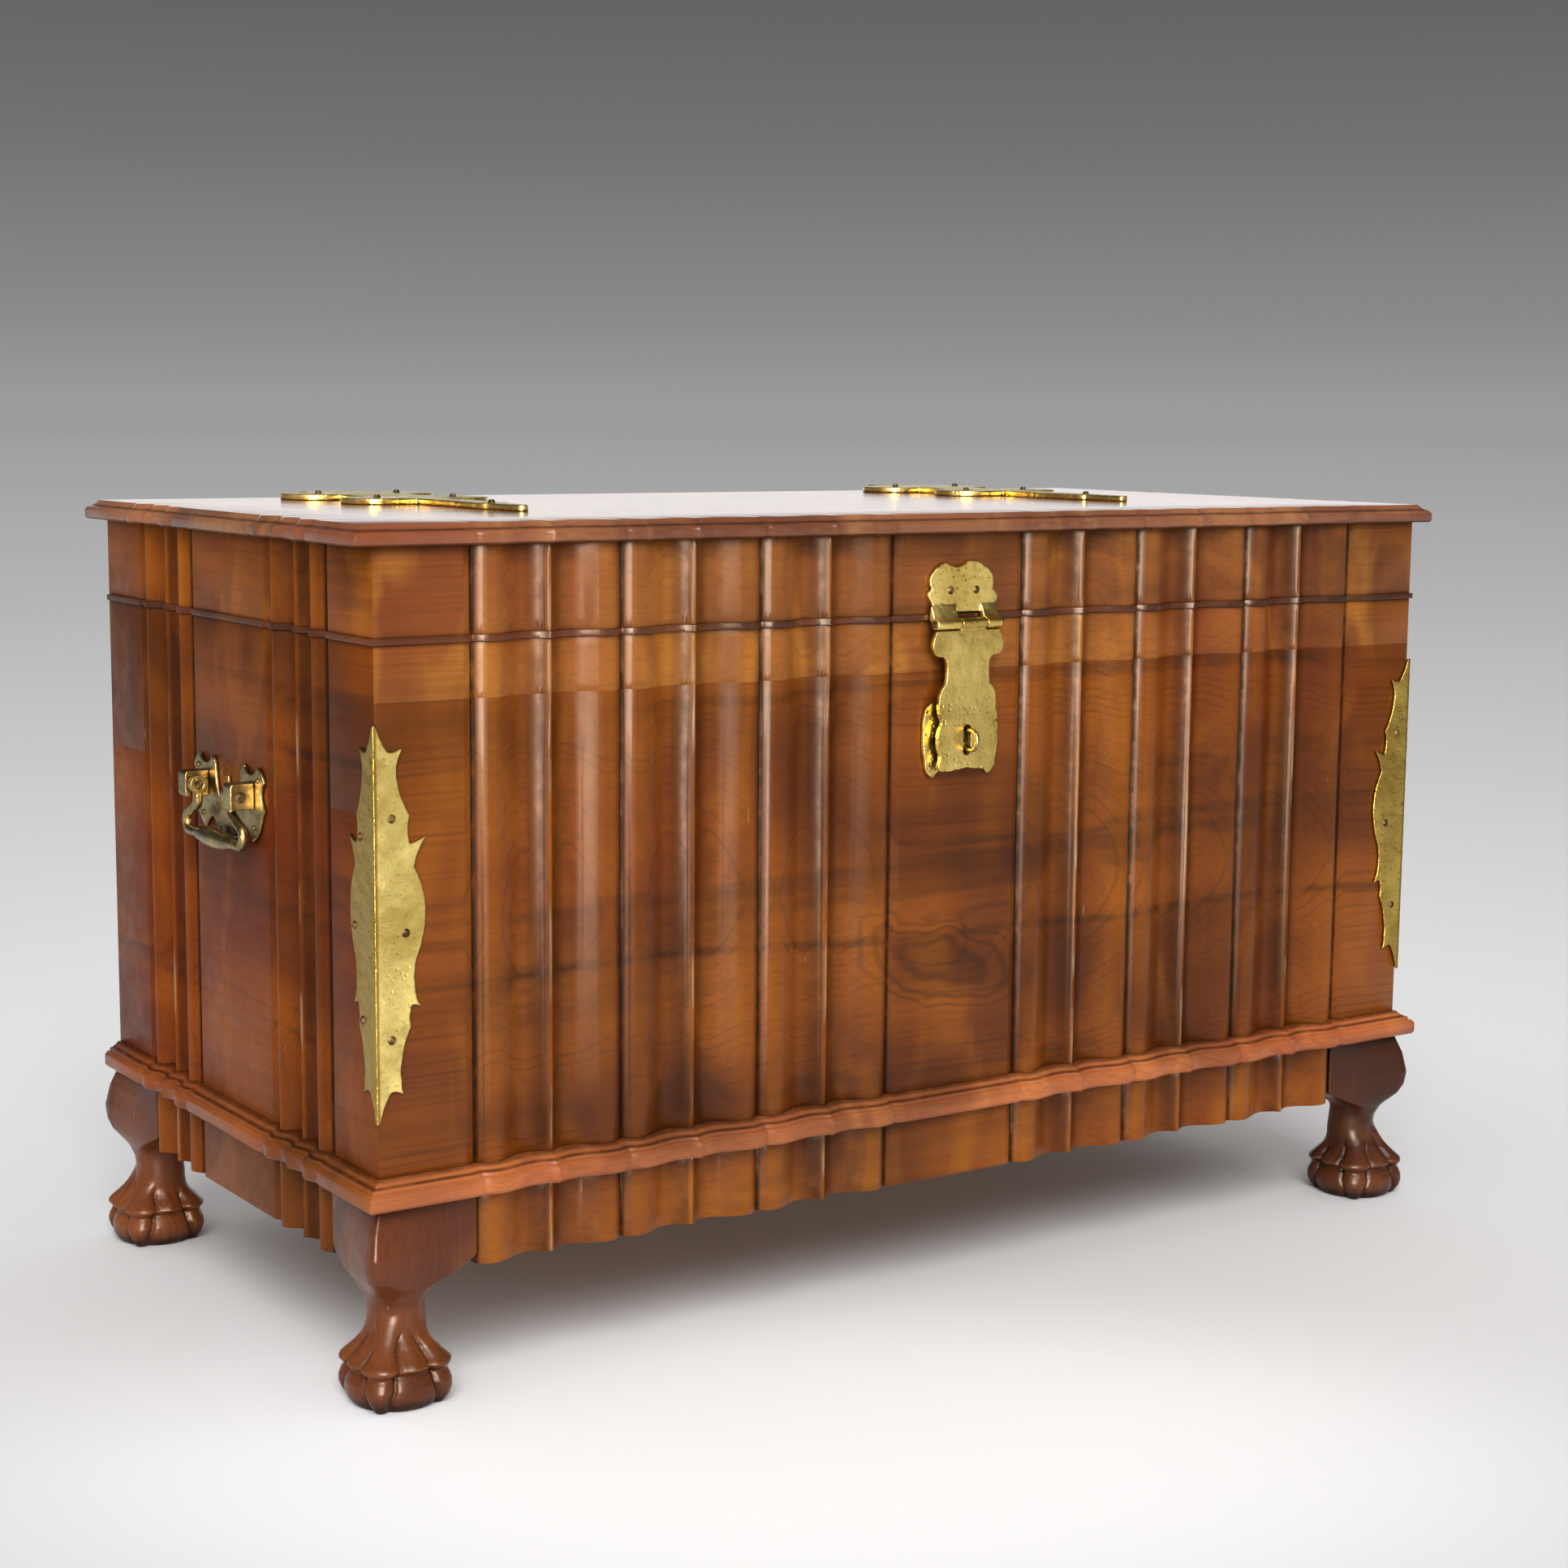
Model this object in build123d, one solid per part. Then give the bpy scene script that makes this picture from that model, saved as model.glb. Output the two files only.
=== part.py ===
from build123d import *
import math
import os

# A joined chest (cassone) with brace-profiled boards on claw-and-ball feet.
# Millimetres, +Z up, front towards -Y. The origin is on the floor below the middle of the chest.

# ------------------------------------------------------------------ whole chest
case_width = 1000           # over the flat corner panels
case_depth = 492            # flat front panels to the back
leg_height = 147            # floor to the underside of the base frame
base_frame_height = 20
split_height = 537          # floor to the top edge of the case
lid_seat_gap = 0.3          # shadow line between case and lid
lid_skirt_height = 67
lid_board_thickness = 15

# ------------------------------------------------------------------ boards
carved_board = 28           # front and side boards, from their flat panels inwards
back_board = 20
bottom_board = 16
bottom_board_count = 3
board_gap = 0.4
front_strip_height = 39     # narrow upper board of the front
side_strip_height = 118     # upper board of each side
frame_width = 42            # base frame, from the case's faces inwards
apron_thickness = 22
apron_height = 54
back_apron_height = 40
glue_block = 26

# ------------------------------------------------------------------ brace profile in plan
front_corner_flat = 76
front_middle_flat = 128     # flat panel behind the hasp
front_brace_count = 3       # on each side of the middle panel
side_corner_flat = 79
side_middle_flat = 150      # flat panel behind the handle
side_brace_count = 1
shoulder_rise = 3           # round shoulders beside the grooves stand proud of the flat panels
shoulder_inset = 13
hollow_depth = 8
hollow_inset = 17
nose_rise = 1
groove_depth = 4
quirk_run = 8               # slope from a flat panel into the groove beside it
moulding_relief = 0.5       # the mouldings follow the wave at this share of its depth

# ------------------------------------------------------------------ mouldings
base_projection = 14
lid_side_overhang = 16
lid_front_overhang = 8
lid_back_overhang = 8
lip_height = 4.5
lip_projection = 2
lip_seat = 13               # straight back of the lip bead, behind the flat panels

# ------------------------------------------------------------------ legs and feet
foot_inset = 20             # foot centre from both faces of the case
ankle_inset = 23.5
ankle_radius = 18
ankle_level = 58
knee_level = 108
knee_swell = 10
ear_level = 93
ball_radius = 36
ball_height = 43
toe_radius = 8
toe_reach = 33

# ------------------------------------------------------------------ brass and iron
sheet = 2.5                 # corner mounts
plate = 4                   # hasp, staple plate, hinge leaves and drops
nail_radius = 3.2
small_nail_radius = 2.2
nail_height = 1.4
dome_height = 2.4
pin_clearance = 0.15
rivet_head = 1.4            # spread head of a riveted pin
rivet_spread = 1.2
rivet_play = 0.2

mount_lift = 39             # corner mounts, above the base frame
mount_drop = 53             # and below the split

barrel_radius = 4.5
barrel_half = 32
barrel_split_left = -7.7
barrel_split_right = 16.9
barrel_gap = 0.4
barrel_drop = 2.4           # hasp pivot below the split
barrel_standoff = 10        # hasp pivot in front of the flat panel
web_clearance = 0.6
hasp_pin_radius = 1.7
hasp_plate_lift = 1.2       # lower edge of the lid plate above the lip bead
hasp_length = 114
hasp_slot_width = 7
hasp_slot_height = 23.5
staple_drop = 92.8          # staple below the split
staple_wire = 2
staple_bend = 7.5
staple_leg = 17
staple_root = 14

hinge_inset = 200           # middle of each hinge from the case's side
hinge_width = 44
hinge_top = 5
hinge_knuckle = 6
hinge_knuckle_gap = 0.4
hinge_standoff = 6.5
hinge_pin_radius = 3
hinge_leaf_length = 104
strap_length = 353          # from the back end to the tip of the finial
strap_body = 198
strap_width = 60
strap_root = 12
strap_lobes = ((63, 36, 31), (170, 34, 29))     # from the back end, aside, radius
knop_back = 53              # knop of the strap behind its tip
knop_radius = 14
finial_radius = 5

handle_drop = 126           # handle pivot below the split
handle_sheet = 3
handle_post_spread = 43
post_width = 14
post_height = 20
post_depth = 19
post_round = 3
handle_pin_radius = 3.2
pin_head_radius = 4.4
bail_standoff = 11          # pivot in front of the handle plate
bail_wire = 3.8
bail_eye_radius = 7
bail_eye_width = 7
bail_eye_gap = 0.8
bail_drop = 37
bail_half_width = 57
grip_radius = 7.5
grip_half_length = 38

# ------------------------------------------------------------------ derived places
half_width = case_width / 2
half_depth = case_depth / 2
base_top = leg_height + base_frame_height
lid_base = split_height + lid_seat_gap
lid_board_base = split_height + lid_skirt_height
lid_top = lid_board_base + lid_board_thickness
front_brace_width = (half_width - front_corner_flat - front_middle_flat / 2) / front_brace_count
side_brace_width = (half_depth - side_corner_flat - side_middle_flat / 2) / side_brace_count
front_face = (case_width, front_corner_flat, front_brace_width, front_brace_count)
side_face = (case_depth, side_corner_flat, side_brace_width, side_brace_count)
hinge_axis_y = half_depth + hinge_standoff
hasp_axis_y = -half_depth - barrel_standoff
hasp_axis_z = split_height - barrel_drop
staple_level = split_height - staple_drop
handle_level = split_height - handle_drop
bail_axis_x = -half_width - handle_sheet - bail_standoff
bail_eye_y = handle_post_spread - post_width / 2 - bail_eye_gap - bail_eye_width / 2
front_reach = half_depth + staple_leg + staple_bend + staple_wire
back_reach = max(hinge_axis_y + hinge_knuckle, half_depth + ball_radius - foot_inset)
centring = Pos(0, (front_reach - back_reach) / 2, 0)


# ------------------------------------------------------------------ brace-profiled boards
def brace(centre, width, level, relief):
    """One brace of the wave, from groove to groove, about its pointed nose."""
    marks = [
        (width / 2, -groove_depth),
        (width / 2 - shoulder_inset, shoulder_rise),
        (hollow_inset, -hollow_depth),
    ]
    before = [(centre - u, level + relief * v) for u, v in marks]
    after = [(centre + u, level + relief * v) for u, v in reversed(marks)]
    return Spline(before + [(centre, level + relief * nose_rise)] + after)


def flat_panel(start, end, level, relief, groove_before, groove_after):
    """A flat panel between u = start and end, sloping into the groove at the ends that have one."""
    groove = level - relief * groove_depth
    points = [(start, groove), (start + quirk_run, level)] if groove_before else [(start, level)]
    points += [(end - quirk_run, level), (end, groove)] if groove_after else [(end, level)]
    return [Line(a, b) for a, b in zip(points, points[1:])]


def wave_run(start, end, face, level, relief):
    """The wavy face of a board from start to end, in u along the face and v outwards."""
    length, corner, width, count = face
    first = corner - length / 2
    inner = first + width * count
    centres = [first + width * (i + 0.5) for i in range(count)]
    edges = []
    if start < first:
        edges += flat_panel(start, first, level, relief, False, True)
    edges += [brace(c, width, level, relief) for c in centres]
    edges += flat_panel(inner, -inner, level, relief, True, True)
    edges += [brace(-c, width, level, relief) for c in reversed(centres)]
    if end > -first:
        edges += flat_panel(-first, end, level, relief, True, False)
    return edges


def wave_section(face, depth, level=0, relief=1, mitre_start=True, mitre_end=True):
    """Plan of a board with a wavy face: mitred ends follow the level, square ends stay put."""
    half = face[0] / 2
    start = -half - (level if mitre_start else 0)
    end = half + (level if mitre_end else 0)
    inner_end = half - (depth if mitre_end else 0)
    inner_start = -half + (depth if mitre_start else 0)
    edges = wave_run(start, end, face, level, relief)
    points = [(end, level), (inner_end, -depth), (inner_start, -depth), (start, level)]
    edges += [Line(a, b) for a, b in zip(points, points[1:])]
    return make_face(edges)


def raised(section, base, top):
    """A plan section pulled up between two heights."""
    return Pos(0, 0, base) * extrude(section, amount=top - base)


def front_place(solid):
    """From face coordinates (u, v) to the front of the chest."""
    return Pos(0, -half_depth, 0) * Rot(0, 0, 180) * solid


def left_place(solid):
    return Pos(-half_width, 0, 0) * Rot(0, 0, 90) * solid


def right_place(solid):
    return Pos(half_width, 0, 0) * Rot(0, 0, -90) * solid


def side_section(depth, level=0, relief=1, for_left=True):
    """Plan of a side board: mitred to the front, square at the back."""
    return wave_section(side_face, depth, level, relief, mitre_start=for_left, mitre_end=not for_left)


def case_boards():
    """Front, side, back and bottom boards of the case."""
    front = wave_section(front_face, carved_board)
    front_joint = split_height - front_strip_height
    side_joint = split_height - side_strip_height
    nodes = {
        "front_board_lower": front_place(raised(front, base_top, front_joint))
        - staple_legs(staple_wire + pin_clearance, 1),
        "front_board_upper": front_place(raised(front, front_joint, split_height)),
    }
    for name, place, for_left in (("left", left_place, True), ("right", right_place, False)):
        side = side_section(carved_board, for_left=for_left)
        nodes[f"{name}_board_lower"] = place(raised(side, base_top, side_joint))
        nodes[f"{name}_board_upper"] = place(raised(side, side_joint, split_height))
    inner_width = case_width - 2 * carved_board
    back = Box(inner_width, back_board, split_height - base_top)
    nodes["back_board"] = Pos(0, half_depth - back_board / 2, (base_top + split_height) / 2) * back
    inner_depth = case_depth - carved_board - back_board
    strip = (inner_depth - 2 * board_gap) / bottom_board_count
    boards = []
    for i in range(bottom_board_count):
        y = -half_depth + carved_board + board_gap + strip * (i + 0.5)
        board = Box(inner_width - 2 * board_gap, strip - board_gap, bottom_board)
        boards.append(Pos(0, y, base_top + bottom_board / 2) * board)
    nodes["bottom_boards"] = boards
    return nodes


# ------------------------------------------------------------------ base frame, aprons
def base_levels():
    """Section of the base moulding: height above the frame's underside and projection."""
    p = base_projection
    return [(0, p - 1.5), (2, p), (10, p), (12.6, p - 2), (13, p - 4), (15.4, p - 4.6), (15.8, p - 7),
            (base_frame_height - 1.4, p - 10.6), (base_frame_height, p - 11.6)]


def base_frame():
    """Moulded rails under the case, mitred at the front corners, and a plain rail at the back."""
    def moulded(section):
        cuts = [Pos(0, 0, leg_height + z) * section(level) for z, level in base_levels()]
        return loft(cuts, ruled=True)

    nodes = {"base_rail_front": front_place(
        moulded(lambda level: wave_section(front_face, frame_width, level, moulding_relief)))}
    for name, place, for_left in (("left", left_place, True), ("right", right_place, False)):
        rail = moulded(lambda level: side_section(frame_width, level, moulding_relief, for_left))
        nodes[f"base_rail_{name}"] = place(rail)
    back = Box(case_width - 2 * frame_width, frame_width, base_frame_height)
    nodes["base_rail_back"] = Pos(0, half_depth - frame_width / 2, leg_height + base_frame_height / 2) * back
    return nodes


def apron(face):
    """Apron between two legs, with the same wave as the board above it."""
    first = face[1] - face[0] / 2
    groove = -groove_depth
    edges = wave_run(first, -first, face, 0, 1)
    points = [(-first, groove), (-first, -apron_thickness), (first, -apron_thickness), (first, groove)]
    edges += [Line(a, b) for a, b in zip(points, points[1:])]
    return raised(make_face(edges), leg_height - apron_height, leg_height)


def aprons():
    """Front and side aprons, a plain back apron and the glue blocks behind them."""
    back_length = case_width - 2 * front_corner_flat
    back = Box(back_length, apron_thickness, back_apron_height)
    nodes = {
        "apron_front": front_place(apron(front_face)),
        "apron_left": left_place(apron(side_face)),
        "apron_right": right_place(apron(side_face)),
        "apron_back": Pos(0, half_depth - apron_thickness / 2, leg_height - back_apron_height / 2) * back,
    }
    x = back_length / 2 - glue_block / 2
    y = half_depth - apron_thickness - glue_block / 2
    block = Box(glue_block, glue_block, back_apron_height)
    nodes["glue_blocks"] = [Pos(sx * x, sy * y, leg_height - back_apron_height / 2) * block
                            for sx in (-1, 1) for sy in (-1, 1)]
    return nodes


# ------------------------------------------------------------------ cabriole legs, claw-and-ball feet
def leg_ring(level, outer):
    """Section of the leg block: outer corner on the diagonal, ears against the two aprons."""
    corners = [(outer, outer), (front_corner_flat, 0), (front_corner_flat, side_corner_flat),
               (0, side_corner_flat)]
    edges = [Line(a, b) for a, b in zip(corners, corners[1:] + corners[:1])]
    return Pos(0, 0, level) * make_face(edges)


def round_ring(level, inset, radius):
    """Round leg section about the ankle, cut into the same four sides."""
    reach = radius * math.sqrt(0.5)
    c = inset
    corners = [(c - reach, c - reach), (c + reach, c - reach), (c + reach, c + reach), (c - reach, c + reach)]
    sides = [(c, c - radius), (c + radius, c), (c, c + radius), (c - radius, c)]
    edges = [ThreePointArc(a, m, b) for a, m, b in zip(corners, sides, corners[1:] + corners[:1])]
    return Pos(0, 0, level) * make_face(edges)


def toe(angle):
    """One toe: two knuckles over the ball and a talon down its side."""
    joints = [(14, ankle_level - 4, 6), (24, 41, 7), (toe_reach, 33, toe_radius), (toe_reach + 3, 22, 6.5),
              (toe_reach + 2.5, 12, 5), (toe_reach - 3, 2.6, 2.5)]
    balls = [Pos(r, 0, z) * Sphere(radius) for r, z, radius in joints]
    parts = balls[:]
    for (ra, za, ka), (rb, zb, kb) in zip(joints, joints[1:]):
        way = Vector(rb - ra, 0, zb - za)
        parts.append(Plane(origin=(ra, 0, za), z_dir=way) * Pos(0, 0, way.length / 2)
                     * Cone(ka * 0.96, kb * 0.96, way.length))
    return Rot(0, 0, angle) * parts[0].fuse(*parts[1:])


def leg():
    """One leg with its outer corner at the origin, reaching towards +X and +Y."""
    top = [
        leg_ring(leg_height, -2),
        leg_ring(knee_level + 18, -7),
        leg_ring(knee_level, -knee_swell),
        leg_ring(ear_level, -knee_swell + 3),
    ]
    shank = [
        leg_ring(ear_level, -knee_swell + 3),
        round_ring(80, 29, 27),
        round_ring(ankle_level + 8, ankle_inset + 1, ankle_radius + 1),
        round_ring(ankle_level - 6, ankle_inset, ankle_radius),
        round_ring(36, foot_inset + 1, ankle_radius + 7),
    ]
    block = loft(top)
    stem = loft(shank)
    ball = Pos(foot_inset, foot_inset, ball_height / 2) * Sphere(ball_radius)
    keep = Pos(foot_inset, foot_inset, ball_height / 2) * Box(200, 200, ball_height)
    ball = ball & keep
    toes = [Pos(foot_inset, foot_inset, 0) * toe(angle) for angle in (45, 135, 225, 315)]
    return block + stem + ball + toes


def legs():
    """Four legs, turned so that each one's knee is on its own corner."""
    front_left = Pos(-half_width, -half_depth, 0) * leg()
    front_right = mirror(front_left, about=Plane.YZ)
    back_left = mirror(front_left, about=Plane.XZ)
    return {
        "leg_front_left": front_left,
        "leg_front_right": front_right,
        "leg_back_left": back_left,
        "leg_back_right": mirror(back_left, about=Plane.YZ),
    }


# ------------------------------------------------------------------ lid
def lid_levels():
    """Moulded edge of the lid board: height above its underside and cut back from the overhang."""
    return [(0, 1.2), (1.8, 0), (7, 0), (9.6, 1.6), (10.4, 3.6), (10.8, 5), (lid_board_thickness, 9)]


def lid_section(cut):
    """Plan of the lid board at one height, cut back from its full overhang."""
    front = lid_front_overhang - cut
    side = lid_side_overhang - cut
    back = lid_back_overhang - cut
    edges = front_place(Compound(children=wave_run(
        -half_width - side, half_width + side, front_face, front, moulding_relief))).edges()
    edges += right_place(Compound(children=wave_run(
        -half_depth - back, half_depth + front, side_face, side, moulding_relief))).edges()
    edges += left_place(Compound(children=wave_run(
        -half_depth - front, half_depth + back, side_face, side, moulding_relief))).edges()
    edges.append(Line((-half_width - side, half_depth + back), (half_width + side, half_depth + back)))
    return make_face(Wire.combine(edges)[0].edges())


def lid_rail(face, mitre_start=True, mitre_end=True):
    """One skirt board of the lid: the wavy part above and a rebate for the lip bead below."""
    half = face[0] / 2
    start = -half + (lip_seat if mitre_start else 0)
    end = half - (lip_seat if mitre_end else 0)
    inner_start = -half + (carved_board if mitre_start else 0)
    inner_end = half - (carved_board if mitre_end else 0)
    points = [(start, -lip_seat), (end, -lip_seat), (inner_end, -carved_board),
              (inner_start, -carved_board)]
    foot = make_face(Polyline(*points, close=True).edges())
    board = wave_section(face, carved_board, mitre_start=mitre_start, mitre_end=mitre_end)
    bead_top = lid_base + lip_height
    return raised(board, bead_top, lid_board_base) + raised(foot, lid_base, bead_top)


def lip_bead(face, mitre_start=True, mitre_end=True):
    """Bead along the lower edge of the lid, standing proud of the boards by its projection."""
    section = wave_section(face, lip_seat, lip_projection, 1, mitre_start, mitre_end)
    return raised(section, lid_base, lid_base + lip_height)


def lid_boards():
    """Top board with its moulded edge, four skirt boards and three lip beads."""
    cuts = [Pos(0, 0, lid_board_base + z) * lid_section(cut) for z, cut in lid_levels()]
    nodes = {
        "lid_board": loft(cuts, ruled=True),
        "lid_rail_front": front_place(lid_rail(front_face)),
        "lid_rail_left": left_place(lid_rail(side_face, mitre_end=False)),
        "lid_rail_right": right_place(lid_rail(side_face, mitre_start=False)),
        "lid_lip_front": front_place(lip_bead(front_face)),
        "lid_lip_left": left_place(lip_bead(side_face, mitre_end=False)),
        "lid_lip_right": right_place(lip_bead(side_face, mitre_start=False)),
    }
    height = lid_board_base - lid_base
    back = Box(case_width - 2 * carved_board, back_board, height)
    nodes["lid_rail_back"] = Pos(0, half_depth - back_board / 2, lid_base + height / 2) * back
    return nodes


# ------------------------------------------------------------------ brass and iron: common pieces
def scalloped(points):
    """A closed outline of (across, up, bow) points; the side after each point swells by its bow."""
    edges = []
    for (ax, ay, bow), (bx, by, _) in zip(points, points[1:] + points[:1]):
        if bow == 0:
            edges.append(Line((ax, ay), (bx, by)))
        else:
            run = math.hypot(bx - ax, by - ay)
            middle = ((ax + bx) / 2 + bow * (by - ay) / run, (ay + by) / 2 - bow * (bx - ax) / run)
            edges.append(ThreePointArc((ax, ay), middle, (bx, by)))
    return make_face(edges)


def mirrored(half):
    """Both halves of an outline given up its right side, from the bottom middle to the top middle."""
    bows = [bow for _, _, bow in half]
    top = (half[-1][0], half[-1][1], bows[-2])
    left = [(-half[i][0], half[i][1], bows[i - 1]) for i in range(len(half) - 2, 0, -1)]
    return scalloped(half[:-1] + [top] + left)


def front_sheet(outline, thickness, standoff=0):
    """An outline in x and z laid on the front of the chest."""
    plane = Plane(origin=(0, -half_depth - standoff, 0), x_dir=(1, 0, 0), z_dir=(0, -1, 0))
    return extrude(plane * outline, amount=thickness)


def left_sheet(outline, thickness):
    """An outline laid on the left side of the chest, its first axis towards the front."""
    plane = Plane(origin=(-half_width, 0, 0), x_dir=(0, -1, 0), z_dir=(-1, 0, 0))
    return extrude(plane * outline, amount=thickness)


def slab(points, start, end):
    """A block between two values of x with a straight-sided outline in y and z."""
    outline = Plane.YZ * make_face(Polyline(*points, close=True).edges())
    return Pos(start, 0, 0) * extrude(outline, amount=end - start, dir=(1, 0, 0))


def rod(start, end, y, z, radius):
    """A round bar along X."""
    return Pos((start + end) / 2, y, z) * Rot(0, 90, 0) * Cylinder(radius, end - start)


def head(base, direction, radius, height):
    """A low domed head seated on a metal face."""
    dome = Cone(radius, radius * 0.55, height, align=(Align.CENTER, Align.CENTER, Align.MIN))
    return Plane(origin=base, z_dir=direction) * dome


def riveted(start, end, y, z, radius):
    """A pin along X with a spread head at each end."""
    pin = rod(start - rivet_play - rivet_head, end + rivet_play + rivet_head, y, z, radius)
    for face in (start - rivet_play - rivet_head, end + rivet_play):
        pin += rod(face, face + rivet_head, y, z, radius + rivet_spread)
    return pin


def both_sides(shape):
    """A shape on the left of the chest and its mirror image on the right."""
    return [shape, mirror(shape, about=Plane.YZ)]


# ------------------------------------------------------------------ corner mounts
def mount_leaf():
    """Barbed leaf beside the arris, as (distance from the arris, height above the foot, bow)."""
    return [
        (0, 0, -1), (8.5, 22, -1.2), (19, 19, -1), (17, 31, -0.8), (17.5, 44, -1.2), (24.5, 67, -1),
        (25, 82, -0.8), (33, 80, -1.2), (28, 94, -1), (29, 114, 2), (36.5, 149, 2), (28, 179, -1.4),
        (38, 200, -0.8), (25, 195, -1.5), (25, 215, -2), (15, 246, -1), (20.5, 261.5, -1),
        (9, 259, -1), (0, 278, 0),
    ]


def corner_mounts():
    """Angle plates nailed round the two front corners."""
    low = base_top + mount_lift
    high = split_height - mount_drop
    stretch = (high - low) / mount_leaf()[-1][1]
    leaf = [(reach, low + up * stretch, bow) for reach, up, bow in mount_leaf()]
    round_arris = [(-sheet, low, 0)] + leaf + [(-sheet, high, 0)]
    mount = front_sheet(scalloped([(reach - half_width, z, bow) for reach, z, bow in round_arris]), sheet)
    mount += left_sheet(scalloped([(half_depth - reach, z, -bow) for reach, z, bow in leaf]), sheet)
    nails = []
    for reach, up in ((11, 213), (21, 133), (9.5, 59)):
        place = (reach - half_width, -half_depth - sheet, low + up * stretch)
        nails += both_sides(head(place, (0, -1, 0), nail_radius, nail_height))
    for reach, up in ((19, 199), (29, 136), (18, 71)):
        place = (-half_width - sheet, reach - half_depth, low + up * stretch)
        nails += both_sides(head(place, (-1, 0, 0), nail_radius, nail_height))
    left, right = both_sides(mount)
    return {"corner_mount_left": left, "corner_mount_right": right, "corner_mount_nails": nails}


# ------------------------------------------------------------------ hasp and staple
def hasp_spans():
    """Outer knuckles of the lid plate and the middle knuckle of the strap, along X."""
    gap = barrel_gap / 2
    outer = [(-barrel_half, barrel_split_left - gap), (barrel_split_right + gap, barrel_half)]
    return outer, (barrel_split_left + gap, barrel_split_right - gap)


def hasp_plate():
    """Scalloped plate on the lid's skirt; webs in front of the lip bead carry its two knuckles."""
    low = lid_base + lip_height + hasp_plate_lift
    points = [
        (-28, 0, 0), (29.6, 0, 0), (31, 5.6, 0.8), (34, 12, 1.2), (29, 17, 0.6), (29.8, 24, 0.6),
        (28, 30, 0.8), (20.7, 35.4, 0.6), (13.4, 39.3, 0.6), (4.6, 39.5, -0.8), (-5, 35.4, -1),
        (-17, 39, 0.6), (-23, 36, 0.6), (-28, 32, 0.8), (-32, 26, 1), (-30, 18, 0.4), (-34, 15, 0.4),
        (-32.5, 11, -0.8),
    ]
    body = front_sheet(scalloped([(x, low + up, bow) for x, up, bow in points]), plate)
    inner = -half_depth - lip_projection - web_clearance
    web = [(inner, hasp_axis_z + 2.9), (inner, low + 2), (-half_depth - plate - 0.5, low + 6),
           (hasp_axis_y, hasp_axis_z + 1.4), (hasp_axis_y, hasp_axis_z),
           (hasp_axis_y + barrel_radius, hasp_axis_z)]
    for start, end in hasp_spans()[0]:
        body += slab(web, start, end) + rod(start, end, hasp_axis_y, hasp_axis_z, barrel_radius)
    return body - hasp_bore()


def hasp_bore():
    return rod(-barrel_half - 1, barrel_half + 1, hasp_axis_y, hasp_axis_z, hasp_pin_radius + pin_clearance)


def hasp_strap():
    """Swinging strap with broad shoulders, the middle knuckle and the slot for the staple."""
    top = hasp_axis_z - barrel_radius - 0.3
    low = hasp_axis_z - hasp_length
    half = [(0, 2, 0.4), (12, 0.4, 0.5), (22, 0, 2), (28, 4.4, -0.6), (26, 12.4, 1), (29, 24.4, 1),
            (25, 37.4, 1.2), (28, 54.4, 1.5), (22, 67, -0.6), (21, 76, -0.6), (21, 84.4, -1.5),
            (27, 89, 1), (33, 92, 1.2), (34, 101, 0.5), (30.5, top - low, 0), (0, top - low, 0)]
    outline = mirrored([(x, low + up, bow) for x, up, bow in half])
    slot = SlotOverall(hasp_slot_height, hasp_slot_width, rotation=90)
    start, end = hasp_spans()[1]
    neck = Rectangle(end - start, hasp_axis_z - top + 2)
    outline -= Pos(0, staple_level) * slot
    outline += Pos((start + end) / 2, (hasp_axis_z + top - 2) / 2) * neck
    body = front_sheet(outline, plate, barrel_standoff - plate / 2)
    body += rod(start, end, hasp_axis_y, hasp_axis_z, barrel_radius)
    return body - hasp_bore()


def staple_legs(radius, reach):
    """Two round legs of the staple or their holes, from the root in the board outwards."""
    length = staple_root + reach
    leg_bar = Rot(90, 0, 0) * Cylinder(radius, length)
    y = -half_depth + staple_root - length / 2
    return [Pos(0, y, staple_level + side * staple_bend) * leg_bar for side in (-1, 1)]


def staple_plate():
    """Winged plate behind the hasp, with two holes for the staple."""
    half = [(0, -19.3, 0), (14, -19.3, -1), (20, -24, -0.8), (26.4, -29.3, 2.5), (34.6, -17.3, 1),
            (36.6, 5.7, 0.8), (35.4, 20.7, 2), (27.7, 29.4, 1.5), (21, 21, -1), (12, 18.7, 0), (0, 18.7, 0)]
    outline = mirrored([(x, staple_level + up, bow) for x, up, bow in half])
    return front_sheet(outline, plate) - staple_legs(staple_wire + pin_clearance, plate + 1)


def hasp_staple():
    """Half-ring of round wire standing through the slot of the hasp, its legs driven into the board."""
    front = -half_depth - staple_leg
    bend = CenterArc((front, staple_level), staple_bend, 90, 180)
    section = Plane(origin=(0, front, staple_level + staple_bend), z_dir=(0, -1, 0)) * Circle(staple_wire)
    body = sweep(section, path=Plane.YZ * bend)
    for bar in staple_legs(staple_wire, staple_leg):
        body += bar
    return body


def hasp():
    """The hasp set: lid plate, strap, pin and nails, with the winged plate and its staple."""
    level = lid_base + lip_height + hasp_plate_lift + 17
    return {
        "hasp_plate": hasp_plate(),
        "hasp_plate_nails": [head((x, -half_depth - plate, level), (0, -1, 0), nail_radius, nail_height)
                             for x in (-12.5, 12.5)],
        "hasp_pin": riveted(-barrel_half, barrel_half, hasp_axis_y, hasp_axis_z, hasp_pin_radius),
        "hasp_strap": hasp_strap(),
        "staple_plate": staple_plate(),
        "hasp_staple": hasp_staple(),
    }


# ------------------------------------------------------------------ hinges
def hinge_spans():
    """Outer knuckles on the lid strap and the middle one on the case leaf, along X."""
    gap = hinge_knuckle_gap / 2
    third = hinge_width / 6
    outer = [(-hinge_width / 2, -third - gap), (third + gap, hinge_width / 2)]
    return outer, (-third + gap, third - gap)


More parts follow.
